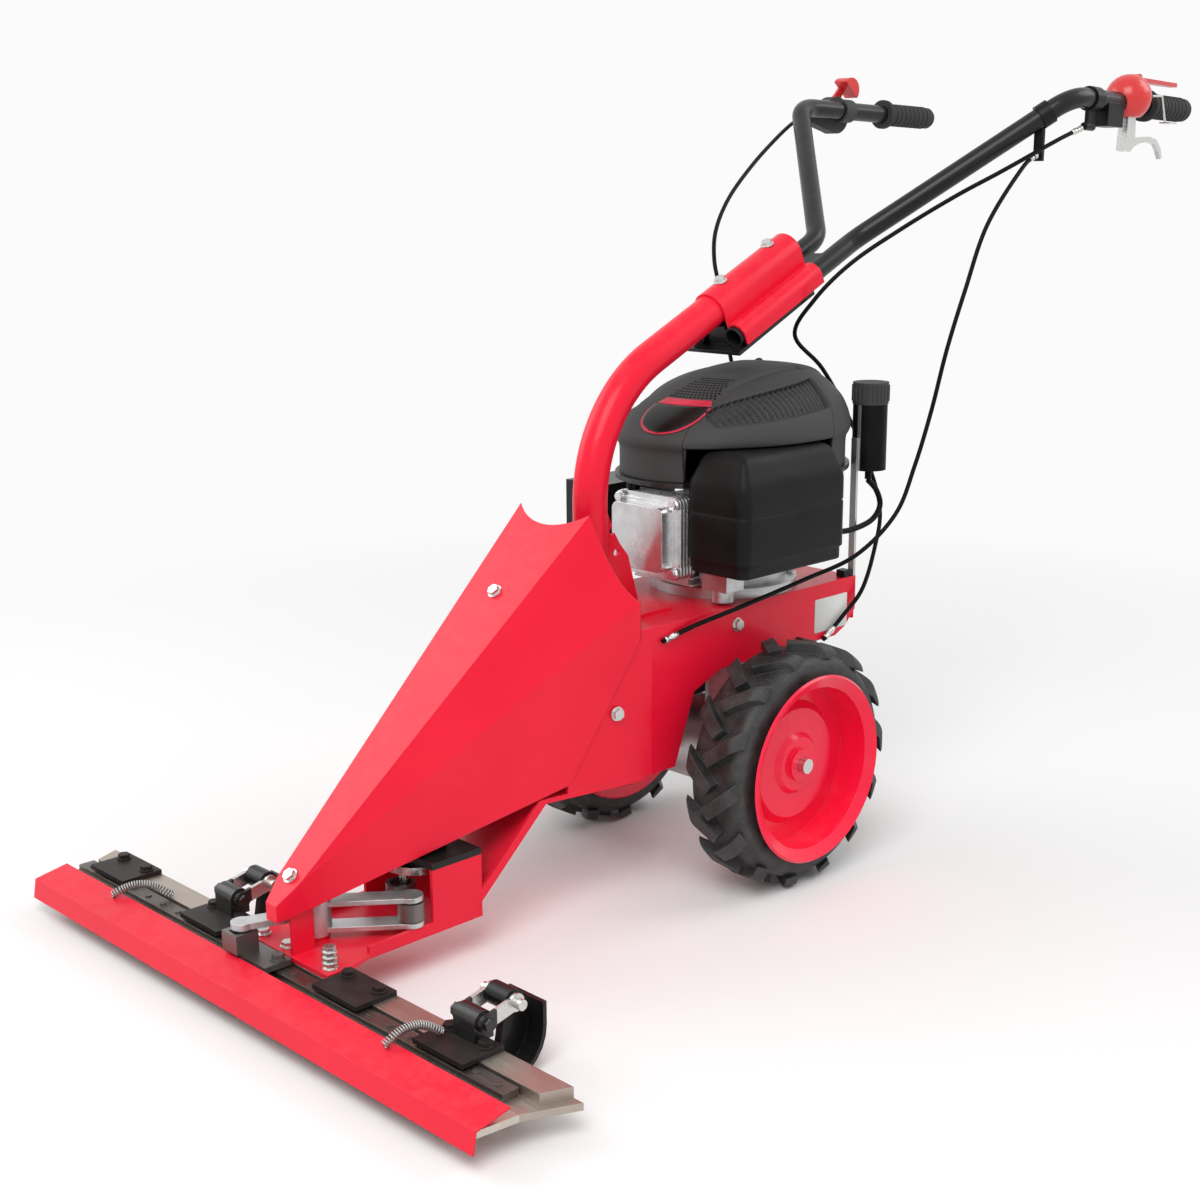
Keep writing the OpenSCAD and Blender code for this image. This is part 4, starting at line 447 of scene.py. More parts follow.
@dataclass(frozen=True)
class Moulded(Finish):
    """Moulded plastic: a spark-eroded grain with faint flow marks."""

    tones: Pair = (0.18, 0.003)
    spread: Pair = (-0.06, 0.08)
    wear_and_highlight: Pair = (0.5, 0.02)
    grain: float = 0.0009
    depth: float = 0.00014
    mottle: float = 0.05
    shine: float = 0.07
    clumps: float = 3.0
    clump_share: float = 0.6
    rub_reach: float = 1.4
    rub_polish: float = 0.1

    def paint(self, g: Surface) -> None:
        """Cells and noise make the grain, broad noise the flow marks, and rubbed edges are smoother.

        Args:
            g: The material's tree.
        """
        grain = g.cells(self.grain) + g.noise(self.grain * self.clumps, detail=2.0) * self.clump_share
        broad = g.noise(self.mottle)
        rub = g.edges(self.edge * self.rub_reach)
        tone = self.tone(g, g.span(broad, *MIDDLE))
        g.finish(
            **self.coats(g, self.with_wear_and_highlight(g, tone, rub), 0.0),
            roughness=self.roughness(g, broad) - rub * self.rub_polish,
            specular_ior_level=self.shine,
            normal=self.relief(g, grain),
        )


@dataclass(frozen=True)
class Rubber(Finish):
    """Rubber: matt, with mould bloom and dry dust in its texture."""

    tones: Pair = (0.22, 0.03)
    wear_and_highlight: Pair = (0.6, 0.07)
    strength: float = 0.3
    edge: float = 0.0015
    bloom: float = 0.035
    bloom_limits: Pair = (0.38, 0.68)
    dust: float = 0.12
    dust_size: float = 0.003
    dust_limits: Pair = (0.55, 0.75)
    dust_colour: Colour = (0.3, 0.27, 0.24)

    def paint(self, g: Surface) -> None:
        """Noise dulls the black, finer noise makes specks of dust, and edges are a little greyer.

        Args:
            g: The material's tree.
        """
        bloom = g.span(g.noise(self.bloom, detail=4.0, rough=0.6), *self.bloom_limits)
        specks = g.span(g.noise(self.dust_size), *self.dust_limits)
        with_wear_and_highlight = self.with_wear_and_highlight(g, self.tone(g, bloom), g.edges(self.edge))
        g.finish(
            base_color=g.blend(specks * self.dust, with_wear_and_highlight, self.dust_colour),
            roughness=self.roughness(g, bloom, (0.0, 1.0)),
            normal=self.relief(g, g.noise(self.grain)),
        )


class Lay(Enum):
    """The way a metal's marks run: how many times longer they are along each axis."""

    ALONG_X = (24.0, 0.5, 0.5)
    ALONG_Y = (0.5, 24.0, 0.5)
    EVEN = (1.0, 1.0, 1.0)


@dataclass(frozen=True)
class Metal(Finish):
    """Bare or plated metal: marks along its lay, mottled plating and brown specks."""

    tones: Pair = (0.22, 0.1)
    spread: Pair = (-0.07, 0.1)
    wear_and_highlight: Pair = (0.4, 0.25)
    grain: float = 0.0014
    depth: float = 0.00006
    edge: float = 0.0006
    metallic: float = 1.0
    lay: Lay = Lay.EVEN
    tint: Colour = (0.5, 0.42, 0.3)
    stain: float = 0.12
    patch: float = 0.022
    patch_limits: Pair = (0.45, 0.7)
    patch_share: float = 0.6
    speck: float = 0.0045
    speck_limits: Pair = (0.6, 0.74)
    speck_share: float = 0.6
    speck_rough: float = 0.15

    def paint(self, g: Surface) -> None:
        """Stretched noise gives the lay, and two sizes of noise the stains.

        Args:
            g: The material's tree.
        """
        marks = g.noise(self.grain, rough=0.6, stretch=self.lay.value)
        patch = g.span(g.noise(self.patch, detail=4.0, rough=0.6), *self.patch_limits)
        specks = g.span(g.noise(self.speck, detail=4.0, rough=0.7), *self.speck_limits)
        stain = (patch * self.patch_share + specks * self.speck_share) * self.stain
        stained = g.blend(stain, self.tone(g, g.span(marks, *MIDDLE)), self.tint)
        g.finish(
            **self.coats(g, self.with_wear_and_highlight(g, stained, g.edges(self.edge)), self.metallic),
            roughness=self.roughness(g, marks) + specks * self.speck_rough,
            normal=self.relief(g, marks),
        )


@dataclass(frozen=True)
class Casting(Finish):
    """As-cast alloy: a sandy skin with duller patches, brighter along its edges."""

    tones: Pair = (0.25, 0.08)
    wear_and_highlight: Pair = (0.5, 0.2)
    depth: float = 0.00022
    strength: float = 0.4
    metallic: float = 0.85
    patch: float = 0.03
    patch_limits: Pair = (0.35, 0.7)
    clumps: float = 2.0

    def paint(self, g: Surface) -> None:
        """Cells and noise make the sand skin, and broad noise the patches.

        Args:
            g: The material's tree.
        """
        skin = g.cells(self.grain) + g.noise(self.grain * self.clumps)
        patch = g.noise(self.patch, detail=4.0, rough=0.6)
        tone = self.tone(g, g.span(patch, *self.patch_limits))
        g.finish(
            **self.coats(g, self.with_wear_and_highlight(g, tone, g.edges(self.edge)), self.metallic),
            roughness=self.roughness(g, patch),
            normal=self.relief(g, skin),
        )


RED = Enamel("red_enamel", (0.84, 0.005, 0.032), 0.34, gloss=0.12)
# A lighter copy of the red enamel for the rims, with more gloss: the extra lightness is painted light,
# standing for the brighter light on the rims
RIM_RED_LIT = Enamel("rim_red_lit", (0.93, 0.008, 0.052), 0.28, gloss=0.35)
RED_PLASTIC = Enamel(
    "red_plastic", (0.78, 0.005, 0.022), 0.3, gloss=0.2, grain=0.0009, dust=0.0, edge=0.0008
)
BLACK = Enamel("black_enamel", (0.006, 0.006, 0.0064), 0.34, gloss=0.16, dust=0.02, edge=0.0008)
OXIDE = Enamel("oxide_black", (0.017, 0.0125, 0.011), 0.5, gloss=0.05, dust=0.02, edge=0.0008)
PLASTIC = Moulded("black_plastic", (0.0066, 0.0062, 0.006), 0.46)
FILTER = Moulded("filter_plastic", (0.0072, 0.007, 0.007), 0.42, depth=0.00008, edge=0.006, shine=0.12)
FILLER_STRAP = Zone("Y", 0.1942, 0.194, (0.55, 0.55, 0.54), 1.0)
FILLER = Moulded("filler_plastic", (0.0066, 0.0062, 0.006), 0.42, zone=FILLER_STRAP)
BADGE_RED = Moulded("badge_red", (0.62, 0.025, 0.06), 0.4, depth=0.00003, shine=0.25)
BADGE_BLACK = Moulded("badge_black", (0.006, 0.006, 0.006), 0.3, depth=0.00003, shine=0.2)
# Near black and matt: painted shade that fills the cowl's vent holes, laid on discs where the holes are
VENT_SHADE = Moulded("vent_painted_shade", (0.002, 0.002, 0.002), 0.8)
PLATE = Enamel("plate_white", (0.8, 0.8, 0.78), 0.4, gloss=0.1, dust=0.06)
SMOOTH_PLASTIC = Moulded("smooth_black_plastic", (0.007, 0.007, 0.0072), 0.34, depth=0.00005, shine=0.16)
SHEATH = Moulded("cable_sheath", (0.004, 0.004, 0.004), 0.42, depth=0.00004, edge=0.0003, shine=0.08)
RUBBER = Rubber("black_rubber", (0.011, 0.011, 0.011), 0.6)
TYRE = Rubber("tyre_rubber", (0.014, 0.0135, 0.014), 0.58, grain=0.0022, edge=0.002)
ZINC = Metal("zinc_plate", (0.68, 0.68, 0.66), 0.3, tint=(0.6, 0.56, 0.44), stain=0.3)
BRACKET = replace(ZINC, name="bracket_plate", zone=Zone("Y", -0.6755, -0.6765))
BAR_STEEL = Metal("bar_steel", (0.47, 0.4, 0.345), 0.42, lay=Lay.ALONG_X, stain=0.35)
FINGER_STEEL = Metal("finger_steel", (0.66, 0.6, 0.52), 0.36, lay=Lay.ALONG_Y, stain=0.3)
KNIFE_STEEL = Metal(
    "knife_steel", (0.13, 0.115, 0.102), 0.42, lay=Lay.ALONG_X, tint=(0.2, 0.12, 0.07), stain=0.5
)
DARK_STEEL = Metal("dark_steel", (0.07, 0.068, 0.066), 0.42, tint=(0.12, 0.08, 0.05), stain=0.4)
BRIGHT_STEEL = Metal("bright_steel", (0.7, 0.7, 0.69), 0.24, stain=0.1)
SPRING_STEEL = Metal("spring_steel", (0.34, 0.33, 0.31), 0.24, stain=0.2)
ALLOY = Casting("cast_alloy", (0.62, 0.62, 0.63), 0.4)
HEAD_ALLOY = Casting("head_alloy", (0.74, 0.74, 0.75), 0.24, grain=0.0012)
BLOCK_ALLOY = replace(ALLOY, name="block_alloy", zone=Zone("Z", 0.505, 0.507))

NODE_FINISHES: dict[Finish, str] = {
    RED: "main_frame front_base front_cover column clamp_saddle guard",
    RIM_RED_LIT: "rim_left rim_right",
    RED_PLASTIC: "throttle_lever clutch_housing clutch_lever",
    BLACK: (
        "clamp_plate handlebar_left handlebar_right handlebar_tie "
        "muffler crank_housing skid_left skid_right"
    ),
    PLASTIC: "engine_cowl starter_guide throttle_body fuel_cap",
    FILLER: "fuel_filler",
    FILTER: "air_filter_base air_filter_cover",
    SMOOTH_PLASTIC: "oil_filler oil_cap starter_handle spark_plug cable_fittings",
    RUBBER: "grips drive_belts",
    TYRE: "tyre_left tyre_right",
    ZINC: "frame_bolts clamp_bolts rocker_pivot",
    BRACKET: "skid_brackets",
    BRIGHT_STEEL: "lever_bracket drive_lever drive_axle crank",
    BAR_STEEL: "cutter_bar engine_pulley gearbox_pulley",
    FINGER_STEEL: "fingers",
    KNIFE_STEEL: "knife",
    DARK_STEEL: "con_rod knife_head",
    OXIDE: "hold_downs hold_down_bolts",
    ALLOY: "carburettor gearbox rocker",
    HEAD_ALLOY: "cylinder_head",
    BLOCK_ALLOY: "engine_base",
}


def mesh_piece(name: str, points: np.ndarray, faces: list[list[int]], smooth: bool) -> bpy.types.Object:
    """A piece from points in metres and lists of their indices.

    Args:
        name: The piece's name.
        points: Points, with three coordinates in the last axis.
        faces: One list of indices for each face.
        smooth: True where its faces are shaded smooth.

    Returns:
        The new object, at the origin.
    """
    mesh = bpy.data.meshes.new(name)
    mesh.from_pydata(points.reshape(-1, 3).tolist(), [], faces)
    mesh.validate()
    mesh.update()
    if smooth:
        mesh.shade_smooth()
    piece = bpy.data.objects.new(name, mesh)
    bpy.context.scene.collection.objects.link(piece)
    return piece


def grid_mesh(
    name: str, points: np.ndarray, around: bool = False, capped: bool = False
) -> bpy.types.Object:
    """A surface from a grid of points.

    Args:
        name: The piece's name.
        points: An array of rows, columns and three coordinates, in metres.
        around: True where the last column joins the first.
        capped: True where the first and last rows get end faces.

    Returns:
        The new object, at the origin.
    """
    rows, columns = points.shape[:2]
    index = np.arange(rows * columns).reshape(rows, columns)
    right = np.roll(index, -1, axis=1) if around else index[:, 1:]
    left = index if around else index[:, :-1]
    quads = np.stack([left[:-1], right[:-1], right[1:], left[1:]], axis=-1).reshape(-1, 4)
    faces = quads.tolist()
    if capped:
        faces += [index[0, ::-1].tolist(), index[-1].tolist()]
    return mesh_piece(name, points, faces, True)


def dressed(piece: bpy.types.Object, body: str, finish: Finish) -> bpy.types.Object:
    """Dresses a piece.

    Args:
        piece: The piece, at the origin.
        body: The body that it rides on.
        finish: Its finish.

    Returns:
        The same piece.
    """
    piece.data.materials.clear()
    piece.data.materials.append(finish.material())
    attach(piece, body)
    LOG.info("piece %s rides on %s", piece.name, body)
    return piece


def smooth_route(points: np.ndarray, steps: int) -> np.ndarray:
    """A Catmull-Rom line: cubic spans whose slopes come from the neighbours.

    Args:
        points: The points that it passes through.
        steps: The number of steps from one to the next.

    Returns:
        The points of the line.
    """
    padded = np.concatenate([points[:1], points, points[-1:]])
    a, b, c, d = (padded[i : len(padded) - 3 + i, None] for i in range(4))
    u = (np.arange(steps) / steps)[None, :, None]
    spans = (2 * b + (c - a) * u + (2 * a - 5 * b + 4 * c - d) * u**2 + (3 * b - a - 3 * c + d) * u**3) / 2
    return np.concatenate([spans.reshape(-1, 3), points[-1:]])


def axle_frame(points: Sequence[Point]) -> np.ndarray:
    """Millimetres measured from the wheel axle, as metres in the part's frame."""
    return (np.array(points, float) + [0.0, AXLE_Y, 0.0]) * MM


def tube_points(line: np.ndarray, radius: np.ndarray | float, sides: int) -> np.ndarray:
    """Circles carried along a line without twist: each frame is the last one turned with the tangent.

    Args:
        line: The points of the line.
        radius: One radius, or one for each point.
        sides: The number of points in a circle.

    Returns:
        An array of circles, points and three coordinates.
    """
    tangent = np.gradient(line, axis=0)
    tangent /= np.linalg.norm(tangent, axis=1, keepdims=True)
    start = np.cross(tangent[0], SLANT)
    side = np.empty_like(line)
    side[0] = start / np.linalg.norm(start)
    for i in range(1, len(line)):
        flat = side[i - 1] - tangent[i] * (side[i - 1] @ tangent[i])
        side[i] = flat / np.linalg.norm(flat)
    other = np.cross(tangent, side)
    angle = np.linspace(0.0, TURN, sides, endpoint=False)
    ring = np.cos(angle)[None, :, None] * side[:, None] + np.sin(angle)[None, :, None] * other[:, None]
    return line[:, None] + ring * np.broadcast_to(radius, len(line))[:, None, None]


def travelled(line: np.ndarray) -> np.ndarray:
    """How far along a line of points each one lies."""
    return np.concatenate([[0.0], np.cumsum(np.linalg.norm(np.diff(line, axis=0), axis=1))])


@dataclass
class Cables:
    """The three control cables and the fuel hose, along their routes in millimetres from the axle."""

    diameter: float = 6.0
    hose_diameter: float = 8.0
    sides: int = 14
    steps: int = 10
    throttle: tuple[Point, ...] = (
        (-263, 539, 1010), (-252, 500, 1002), (-220, 420, 976), (-190, 330, 936), (-160, 245, 890),
        (-132, 186, 846), (-104, 152, 805), (-88, 148, 762), (-100, 174, 708), (-122, 212, 656),
        (-130, 240, 614.5),
    )
    clutch: tuple[Point, ...] = (
        (240, 540, 985), (232, 490, 968), (204, 397, 926), (172, 335, 893), (132, 268, 850),
        (92, 211, 805), (58, 176, 756), (22, 180, 706), (20, 245, 655), (30, 290, 590), (60, 310, 510),
        (84, 306, 450), (100, 274, 400), (112, 232, 350), (111, 190, 318), (108.5, 150, 290),
    )
    drive: tuple[Point, ...] = (
        (211, 472, 948), (216, 428, 930), (218, 345, 855), (210, 311, 769), (198, 291, 689),
        (188, 275, 607), (180, 252, 532), (172, 222, 467), (150, 165, 415), (126, 82, 390),
        (118, -39, 372), (112, -120, 361), (108.5, -176, 350),
    )
    hose: tuple[Point, ...] = (
        (106, 246, 504), (109, 262, 488), (113, 266, 466), (114, 246, 448), (112, 205, 440),
        (112, 165, 442), (112, 126, 446),
    )

    def controls(self) -> dict[str, tuple[Point, ...]]:
        """The routes of the control cables by name."""
        return {"throttle": self.throttle, "clutch": self.clutch, "drive": self.drive}

    def run(self, name: str, route: Sequence[Point], diameter: float) -> bpy.types.Object:
        """One smooth tube along a route, riding on the frame.

        Args:
            name: The piece's name.
            route: Points in millimetres from the axle.
            diameter: The tube's diameter.

        Returns:
            The new piece.
        """
        line = smooth_route(axle_frame(route), self.steps)
        piece = grid_mesh(name, tube_points(line, diameter * MM / 2, self.sides), around=True, capped=True)
        dressed(piece, "frame", SHEATH)
        return piece

    def build(self) -> None:
        """Makes the cables and the hose in place of their plain solids."""
        for name, route in self.controls().items():
            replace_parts(self.run(f"{name}_cable", route, self.diameter), "control_cables")
        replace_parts(self.run("fuel_line", self.hose, self.hose_diameter), "fuel_hose")


@dataclass
class Springs:
    """The two coil springs of the guard, wound along bent lines, in millimetres from the axle."""

    coil_d: float = 10.0
    wire_d: float = 2.0
    curls: int = 25
    turn: int = 20
    sides: int = 10
    rise: float = 14.0
    shares: tuple[Pair, ...] = ((0, 0), (0.2, 0.6), (0.4, 0.96), (0.6, 0.97), (0.8, 0.62), (1, 0))
    hooks: tuple[Point, Point] = ((254.04, -743.0, 57.2), (-294.93, -743.0, 57.2))
    feet: tuple[Point, Point] = ((276.448, -685.0, 59.5), (-251.0, -685.0, 53.3))

    def arch(self, hook: Point, foot: Point) -> np.ndarray:
        """The bent line of a spring: straight in plan from hook to foot, lifted by shares of the rise.

        Args:
            hook: Its end on the guard.
            foot: Its end at the bar.

        Returns:
            The points of the line, in millimetres from the axle.
        """
        along, lift = np.array(self.shares, float).T
        line = np.array(hook) + (np.array(foot) - hook) * along[:, None]
        return line + np.stack([0 * lift, 0 * lift, self.rise * lift], axis=1)

    def coil(self, route: np.ndarray) -> np.ndarray:
        """A helix round a smooth line: each point is the next one of the circle that is carried along.

        Args:
            route: Points of the line, in millimetres from the axle.

        Returns:
            The points of the wire's middle, in metres.
        """
        per_span = self.curls * self.turn // (len(route) - 1)
        line = smooth_route(axle_frame(route), per_span)
        wheel = tube_points(line, (self.coil_d - self.wire_d) / 2 * MM, self.turn)
        step = np.arange(len(line))
        return wheel[step, step % self.turn]

    def build(self) -> None:
        """Makes both springs."""
        for name, hook, foot in zip(("left", "right"), self.hooks, self.feet):
            wire = tube_points(self.coil(self.arch(hook, foot)), self.wire_d / 2 * MM, self.sides)
            piece = grid_mesh(f"guard_spring_{name}", wire, around=True, capped=True)
            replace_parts(dressed(piece, "guard", SPRING_STEEL), "guard_springs")


@dataclass
class StarterRope:
    """The pull rope between the guide and the handle; on the mower it is hidden in the handle's stub at
    rest and draws out when pulled, but here it is one fixed run.
    """

    diameter: float = 4.4
    sides: int = 10
    rings: int = 60
    foot: Point = (-114.0, 269.5, 595.4)
    knot: Point = (-114.0, 287.0, 617.8)

    def build(self) -> None:
        """Makes a straight run of close rings from the guide to the handle."""
        foot, knot = axle_frame((self.foot, self.knot))
        line = foot + (knot - foot) * np.linspace(0.0, 1.0, self.rings)[:, None]
        rings = tube_points(line, self.diameter * MM / 2, self.sides)
        piece = grid_mesh("starter_rope", rings, around=True, capped=True)
        piece.data.materials.append(SHEATH.material())
        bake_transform(piece)
        LOG.info("piece %s draws out from frame to starter_handle", piece.name)


def smoothstep(value: np.ndarray, low: float | np.ndarray, high: float | np.ndarray) -> np.ndarray:
    """0 before low and 1 after high, with 3t^2 - 2t^3 between."""
    t = np.clip((value - low) / (np.asarray(high) - low), 0.0, 1.0)
    return t * t * (3.0 - 2.0 * t)


def thicken(piece: bpy.types.Object, wall: float) -> None:
    """Gives a sheet a wall, inwards from its outer face.

    Args:
        piece: The sheet.
        wall: Its thickness in millimetres.
    """
    solid = piece.modifiers.new("wall", "SOLIDIFY")
    solid.thickness = wall * MM
    solid.offset = -1.0


def studs(
    name: str,
    centres: np.ndarray,
    across: np.ndarray,
    up: np.ndarray,
    radius: float,
    depths: Pair,
    sides: int,
) -> bpy.types.Object:
    """Short round studs as one mesh: each is two circles in the plane of across and up, and two end faces.

    Args:
        name: The piece's name.
        centres: One point for each stud, in millimetres.
        across: A unit vector in each stud's face.
        up: The other unit vector in each stud's face.
        radius: The radius of a stud.
        depths: The heights of its two ends along its axis.
        sides: The number of sides.

    Returns:
        The new object, at the origin.
    """
    angle = np.linspace(0.0, TURN, sides, endpoint=False)[None, :, None]
    ring = radius * (np.cos(angle) * across[:, None] + np.sin(angle) * up[:, None])
    axis = np.cross(across, up)[:, None]
    circles = np.stack([centres[:, None] + ring + depth * axis for depth in depths], axis=1)
    count = len(centres)
    index = np.arange(count * 2 * sides).reshape(count, 2, sides)
    ahead = np.roll(index, -1, axis=2)
    walls = np.stack([index[:, 0], ahead[:, 0], ahead[:, 1], index[:, 1]], axis=-1).reshape(-1, 4)
    faces = walls.tolist() + index[:, 0, ::-1].tolist() + index[:, 1].tolist()
    return mesh_piece(name, circles * MM, faces, False)


@dataclass(frozen=True)
class Recess:
    """The field of slats pressed into each side of the cowl.

    Places along y and depths are in millimetres, and heights are shares of the cowl's.
    """

    span: Pair = (-133.0, 52.0)
    low: Pair = (0.5, 0.6)
    top: Pair = (0.535, 0.85)
    bow: float = 0.45
    lip: float = 0.008
    falls: Pair = (0.02, 0.012)
    end: float = 5.0
    depth: float = 15.0
    slat_pitch: float = 8.6
    slat_depth: float = 8.5
    slat_edge: Pair = (-0.15, 0.35)

    def press(self, y: np.ndarray, part: np.ndarray) -> np.ndarray:
        """How far the dome is pressed in: the slats follow a cosine along y, steepened at its edges.

        Args:
            y: Places along the cowl, from its middle.
            part: Heights.

        Returns:
            Depths in millimetres.
        """
        start, stop = self.span
        along = np.clip((y - start) / (stop - start), 0.0, 1.0)
        low = self.low[0] + (self.low[1] - self.low[0]) * along
        top = self.top[0] + (self.top[1] - self.top[0]) * along**self.bow
        inside = smoothstep(part, low - self.lip, low + self.falls[0])
        inside = inside * smoothstep(-part, -top - self.lip, -top + self.falls[1])
        inside = inside * smoothstep(y, start, start + self.end) * smoothstep(-y, -stop, -stop + self.end)
        slats = smoothstep(np.cos(TURN * y / self.slat_pitch), *self.slat_edge)
        return inside * (self.depth - self.slat_depth * slats)


@dataclass(frozen=True)
class Badge:
    """The blank badge: its place on the cowl, and sizes in millimetres round and up from its middle."""

    turn: float = -1.41
    z: float = 0.595
    half: float = 46.0
    power: float = 2.4
    last: float = 0.999
    rows: int = 22
    columns: int = 25
    rim: Pair = (17.0, 62.0)
    rim_lift: float = 0.8
    face: Pair = (16.9, 58.6)
    face_in: Pair = (3.0, 0.2)
    face_lift: float = 1.2
    bar: Pair = (20.0, 35.0)
    bar_in: Pair = (2.0, 8.0)
    bar_lift: float = 1.4
    bar_rows: int = 6
    probe: float = 0.01


@dataclass(frozen=True)
class Vents:
    """The field of small round vents above the badge, in millimetres: near-black discs of painted shade
    stand where the holes are.
    """

    rows: int = 9
    columns: int = 6
    pitch: Pair = (6.4, 6.0)
    low: float = 42.0
    half: float = 42.0
    taper: float = 1.2
    radius: float = 1.9
    depths: Pair = (-0.8, 0.12)
    sides: int = 10


@dataclass
class Cowl:
    """The engine's cowl: an oval dome with a spine, slatted recesses, vents drawn as discs of painted shade
    and a blank badge.

    The profile's rows are shares: of the half length to the rear and to the front, of the half width and
    of the height.
    """

    centre: Point = (0.0, 52.0, 534.0)
    half_x: float = 140.0
    half_y: float = 185.0
    height: float = 144.0
    wall: float = 2.5
    profile: tuple[tuple[float, ...], ...] = (
        (0.962, 0.962, 0.962, 0.0), (0.962, 0.962, 0.962, 0.2), (0.97, 0.97, 0.97, 0.27),
        (1.0, 1.0, 1.0, 0.335), (1.0, 0.985, 1.0, 0.41), (0.965, 0.9, 0.97, 0.52),
        (0.9, 0.74, 0.91, 0.64), (0.81, 0.54, 0.81, 0.745), (0.71, 0.3, 0.7, 0.83),
        (0.61, 0.06, 0.56, 0.88), (0.52, -0.14, 0.4, 0.904), (0.43, -0.27, 0.2, 0.914),
        (0.352, -0.344, 0.004, 0.916),
    )
    profile_steps: int = 12
    columns: int = 720
    rows: int = 112
    spine_half: float = 50.0
    spine_rise: float = 4.5
    spine_edge: Pair = (3.0, 2.0)
    spine_start: Pair = (0.66, 0.86)
    recess: Recess = Recess()
    recess_drop: float = 0.35
    notch_span: Pair = (-168.0, 47.0)
    notch_z: float = 46.0
    probe: float = 0.004
    mark: Badge = Badge()
    field: Vents = Vents()

    def __post_init__(self) -> None:
        """Works out the smooth profile and its levels."""
        reach = (self.half_x + self.half_y) / 2
        marks = np.array([(side * reach, z * self.height, 0.0) for _, _, side, z in self.profile])
        line = smooth_route(marks, self.profile_steps)
        steps = travelled(line)
        self.level = steps / steps[-1]
        self.share = line[:, 0] / reach
        self.rise = line[:, 1]
        ends = np.array([(rear, front, 0.0) for rear, front, _, _ in self.profile])
        self.rear, self.front, _ = smooth_route(ends, self.profile_steps).T

    def level_at(self, z: float) -> float:
        """The level, 0 at the rim and 1 at the crown, where the dome has the height z."""
        return float(np.interp(z, self.rise, self.level))

    def surface(self, turn: np.ndarray, level: np.ndarray) -> np.ndarray:
        """Points of the dome: at each level an ellipse between the profile's rear, front and side shares.

        The recess is pressed in, its slats stand up in it, and the spine is raised along the top.

        Args:
            turn: Angles round the dome, in radians from +X.
            level: Levels from 0 at the rim to 1 at the crown.

        Returns:
            Points in millimetres of the part's frame.
        """
        columns = (self.share, self.rise, self.rear, self.front)
        share, z, rear, front = (np.interp(level, self.level, column) for column in columns)
        x = self.half_x * share * np.cos(turn)
        y = self.half_y * ((rear - front) / 2 + (rear + front) / 2 * np.sin(turn))
        part = z / self.height
        press = self.recess.press(y, part)
        edges = (-self.spine_half - self.spine_edge[0], -self.spine_half + self.spine_edge[1])
        spine = self.spine_rise * smoothstep(-np.abs(x), *edges)
        spine = spine * smoothstep(part, *self.spine_start)
        lifted = z + spine - self.recess_drop * press
        return np.stack([x - np.sign(x) * press, y + 0 * press, lifted], axis=-1) + np.array(self.centre)

    def tangents(self, turn: np.ndarray, level: np.ndarray) -> tuple[np.ndarray, np.ndarray, np.ndarray]:
        """Unit vectors from small steps of the surface.

        Args:
            turn: Angles round the dome.
            level: Levels up the dome.

        Returns:
            The vectors round the dome, up it and out of it.
        """
        across = self.surface(turn + self.probe, level) - self.surface(turn - self.probe, level)
        up = self.surface(turn, level + self.probe) - self.surface(turn, level - self.probe)
        across = across / np.linalg.norm(across, axis=-1, keepdims=True)
        up = up / np.linalg.norm(up, axis=-1, keepdims=True)
        out = np.cross(across, up)
        return across, up, out / np.linalg.norm(out, axis=-1, keepdims=True)

    def on_badge(self, u: np.ndarray, v: np.ndarray) -> tuple[np.ndarray, np.ndarray]:
        """Finds places near the badge, by the surface's length per step of turn and of level there.

        Args:
            u: Millimetres round the dome from the badge's middle.
            v: Millimetres up the dome from it.

        Returns:
            The places' turns and levels.
        """
        step = self.mark.probe
        level = self.level_at(self.mark.z * self.height)
        turns = self.mark.turn + step * np.array([-1, 1, 0, 0])
        levels = level + step * np.array([0, 0, -1, 1])
        ends = self.surface(turns, levels)
        round_step = np.linalg.norm(ends[1] - ends[0]) / (2 * step)
        up_step = np.linalg.norm(ends[3] - ends[2]) / (2 * step)
        return self.mark.turn + u / round_step, level + v / up_step

    def shell(self) -> None:
        """The dome, which stands for the plain shell; the rim steps up over the air filter."""
        turn = np.linspace(0.0, TURN, self.columns, endpoint=False)[None]
        y = self.half_y * np.sin(turn)
        notched = (np.cos(turn) > 0) & (y > self.notch_span[0]) & (y < self.notch_span[1])
        start = np.where(notched, self.level_at(self.notch_z), 0.0)
        level = start + (1.0 - start) * np.linspace(0.0, 1.0, self.rows)[:, None]
        piece = grid_mesh("cowl_shell", self.surface(turn + 0 * level, level) * MM, around=True)
        thicken(piece, self.wall)
        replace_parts(dressed(piece, "frame", PLASTIC), "engine_cowl")

    def patch(self, name: str, half: np.ndarray, v: np.ndarray, lift: float, finish: Finish) -> None:
        """A thin patch on the dome.

        Args:
            name: The piece's name.
            half: Half its width at each height.
            v: The heights, in millimetres from the badge's middle.
            lift: How far its face stands off the dome.
            finish: Its finish.
        """
        u = half[:, None] * np.linspace(-1.0, 1.0, self.mark.columns)[None]
        turn, level = self.on_badge(u, v[:, None] + 0 * u)
        points = self.surface(turn, level) + lift * self.tangents(turn, level)[2]
        piece = grid_mesh(name, points * MM)
        thicken(piece, lift)
        dressed(piece, "frame", finish)

    def badge(self) -> None:
        """A blank shield with a red rim and a red bar over it: its half width falls as an ellipse does."""
        mark = self.mark
        fall = np.linspace(0.0, mark.last, mark.rows)
        shield = mark.half * np.sqrt(1.0 - fall**mark.power)
        inner = shield - mark.face_in[0] - mark.face_in[1] * fall
        bar = np.linspace(mark.half - mark.bar_in[0], mark.half - mark.bar_in[1], mark.bar_rows)
        self.patch("badge_rim", shield, mark.rim[0] - mark.rim[1] * fall, mark.rim_lift, BADGE_RED)
        self.patch("badge_face", inner, mark.face[0] - mark.face[1] * fall, mark.face_lift, BADGE_BLACK)
        self.patch("badge_bar", bar, np.linspace(*mark.bar, mark.bar_rows), mark.bar_lift, BADGE_RED)

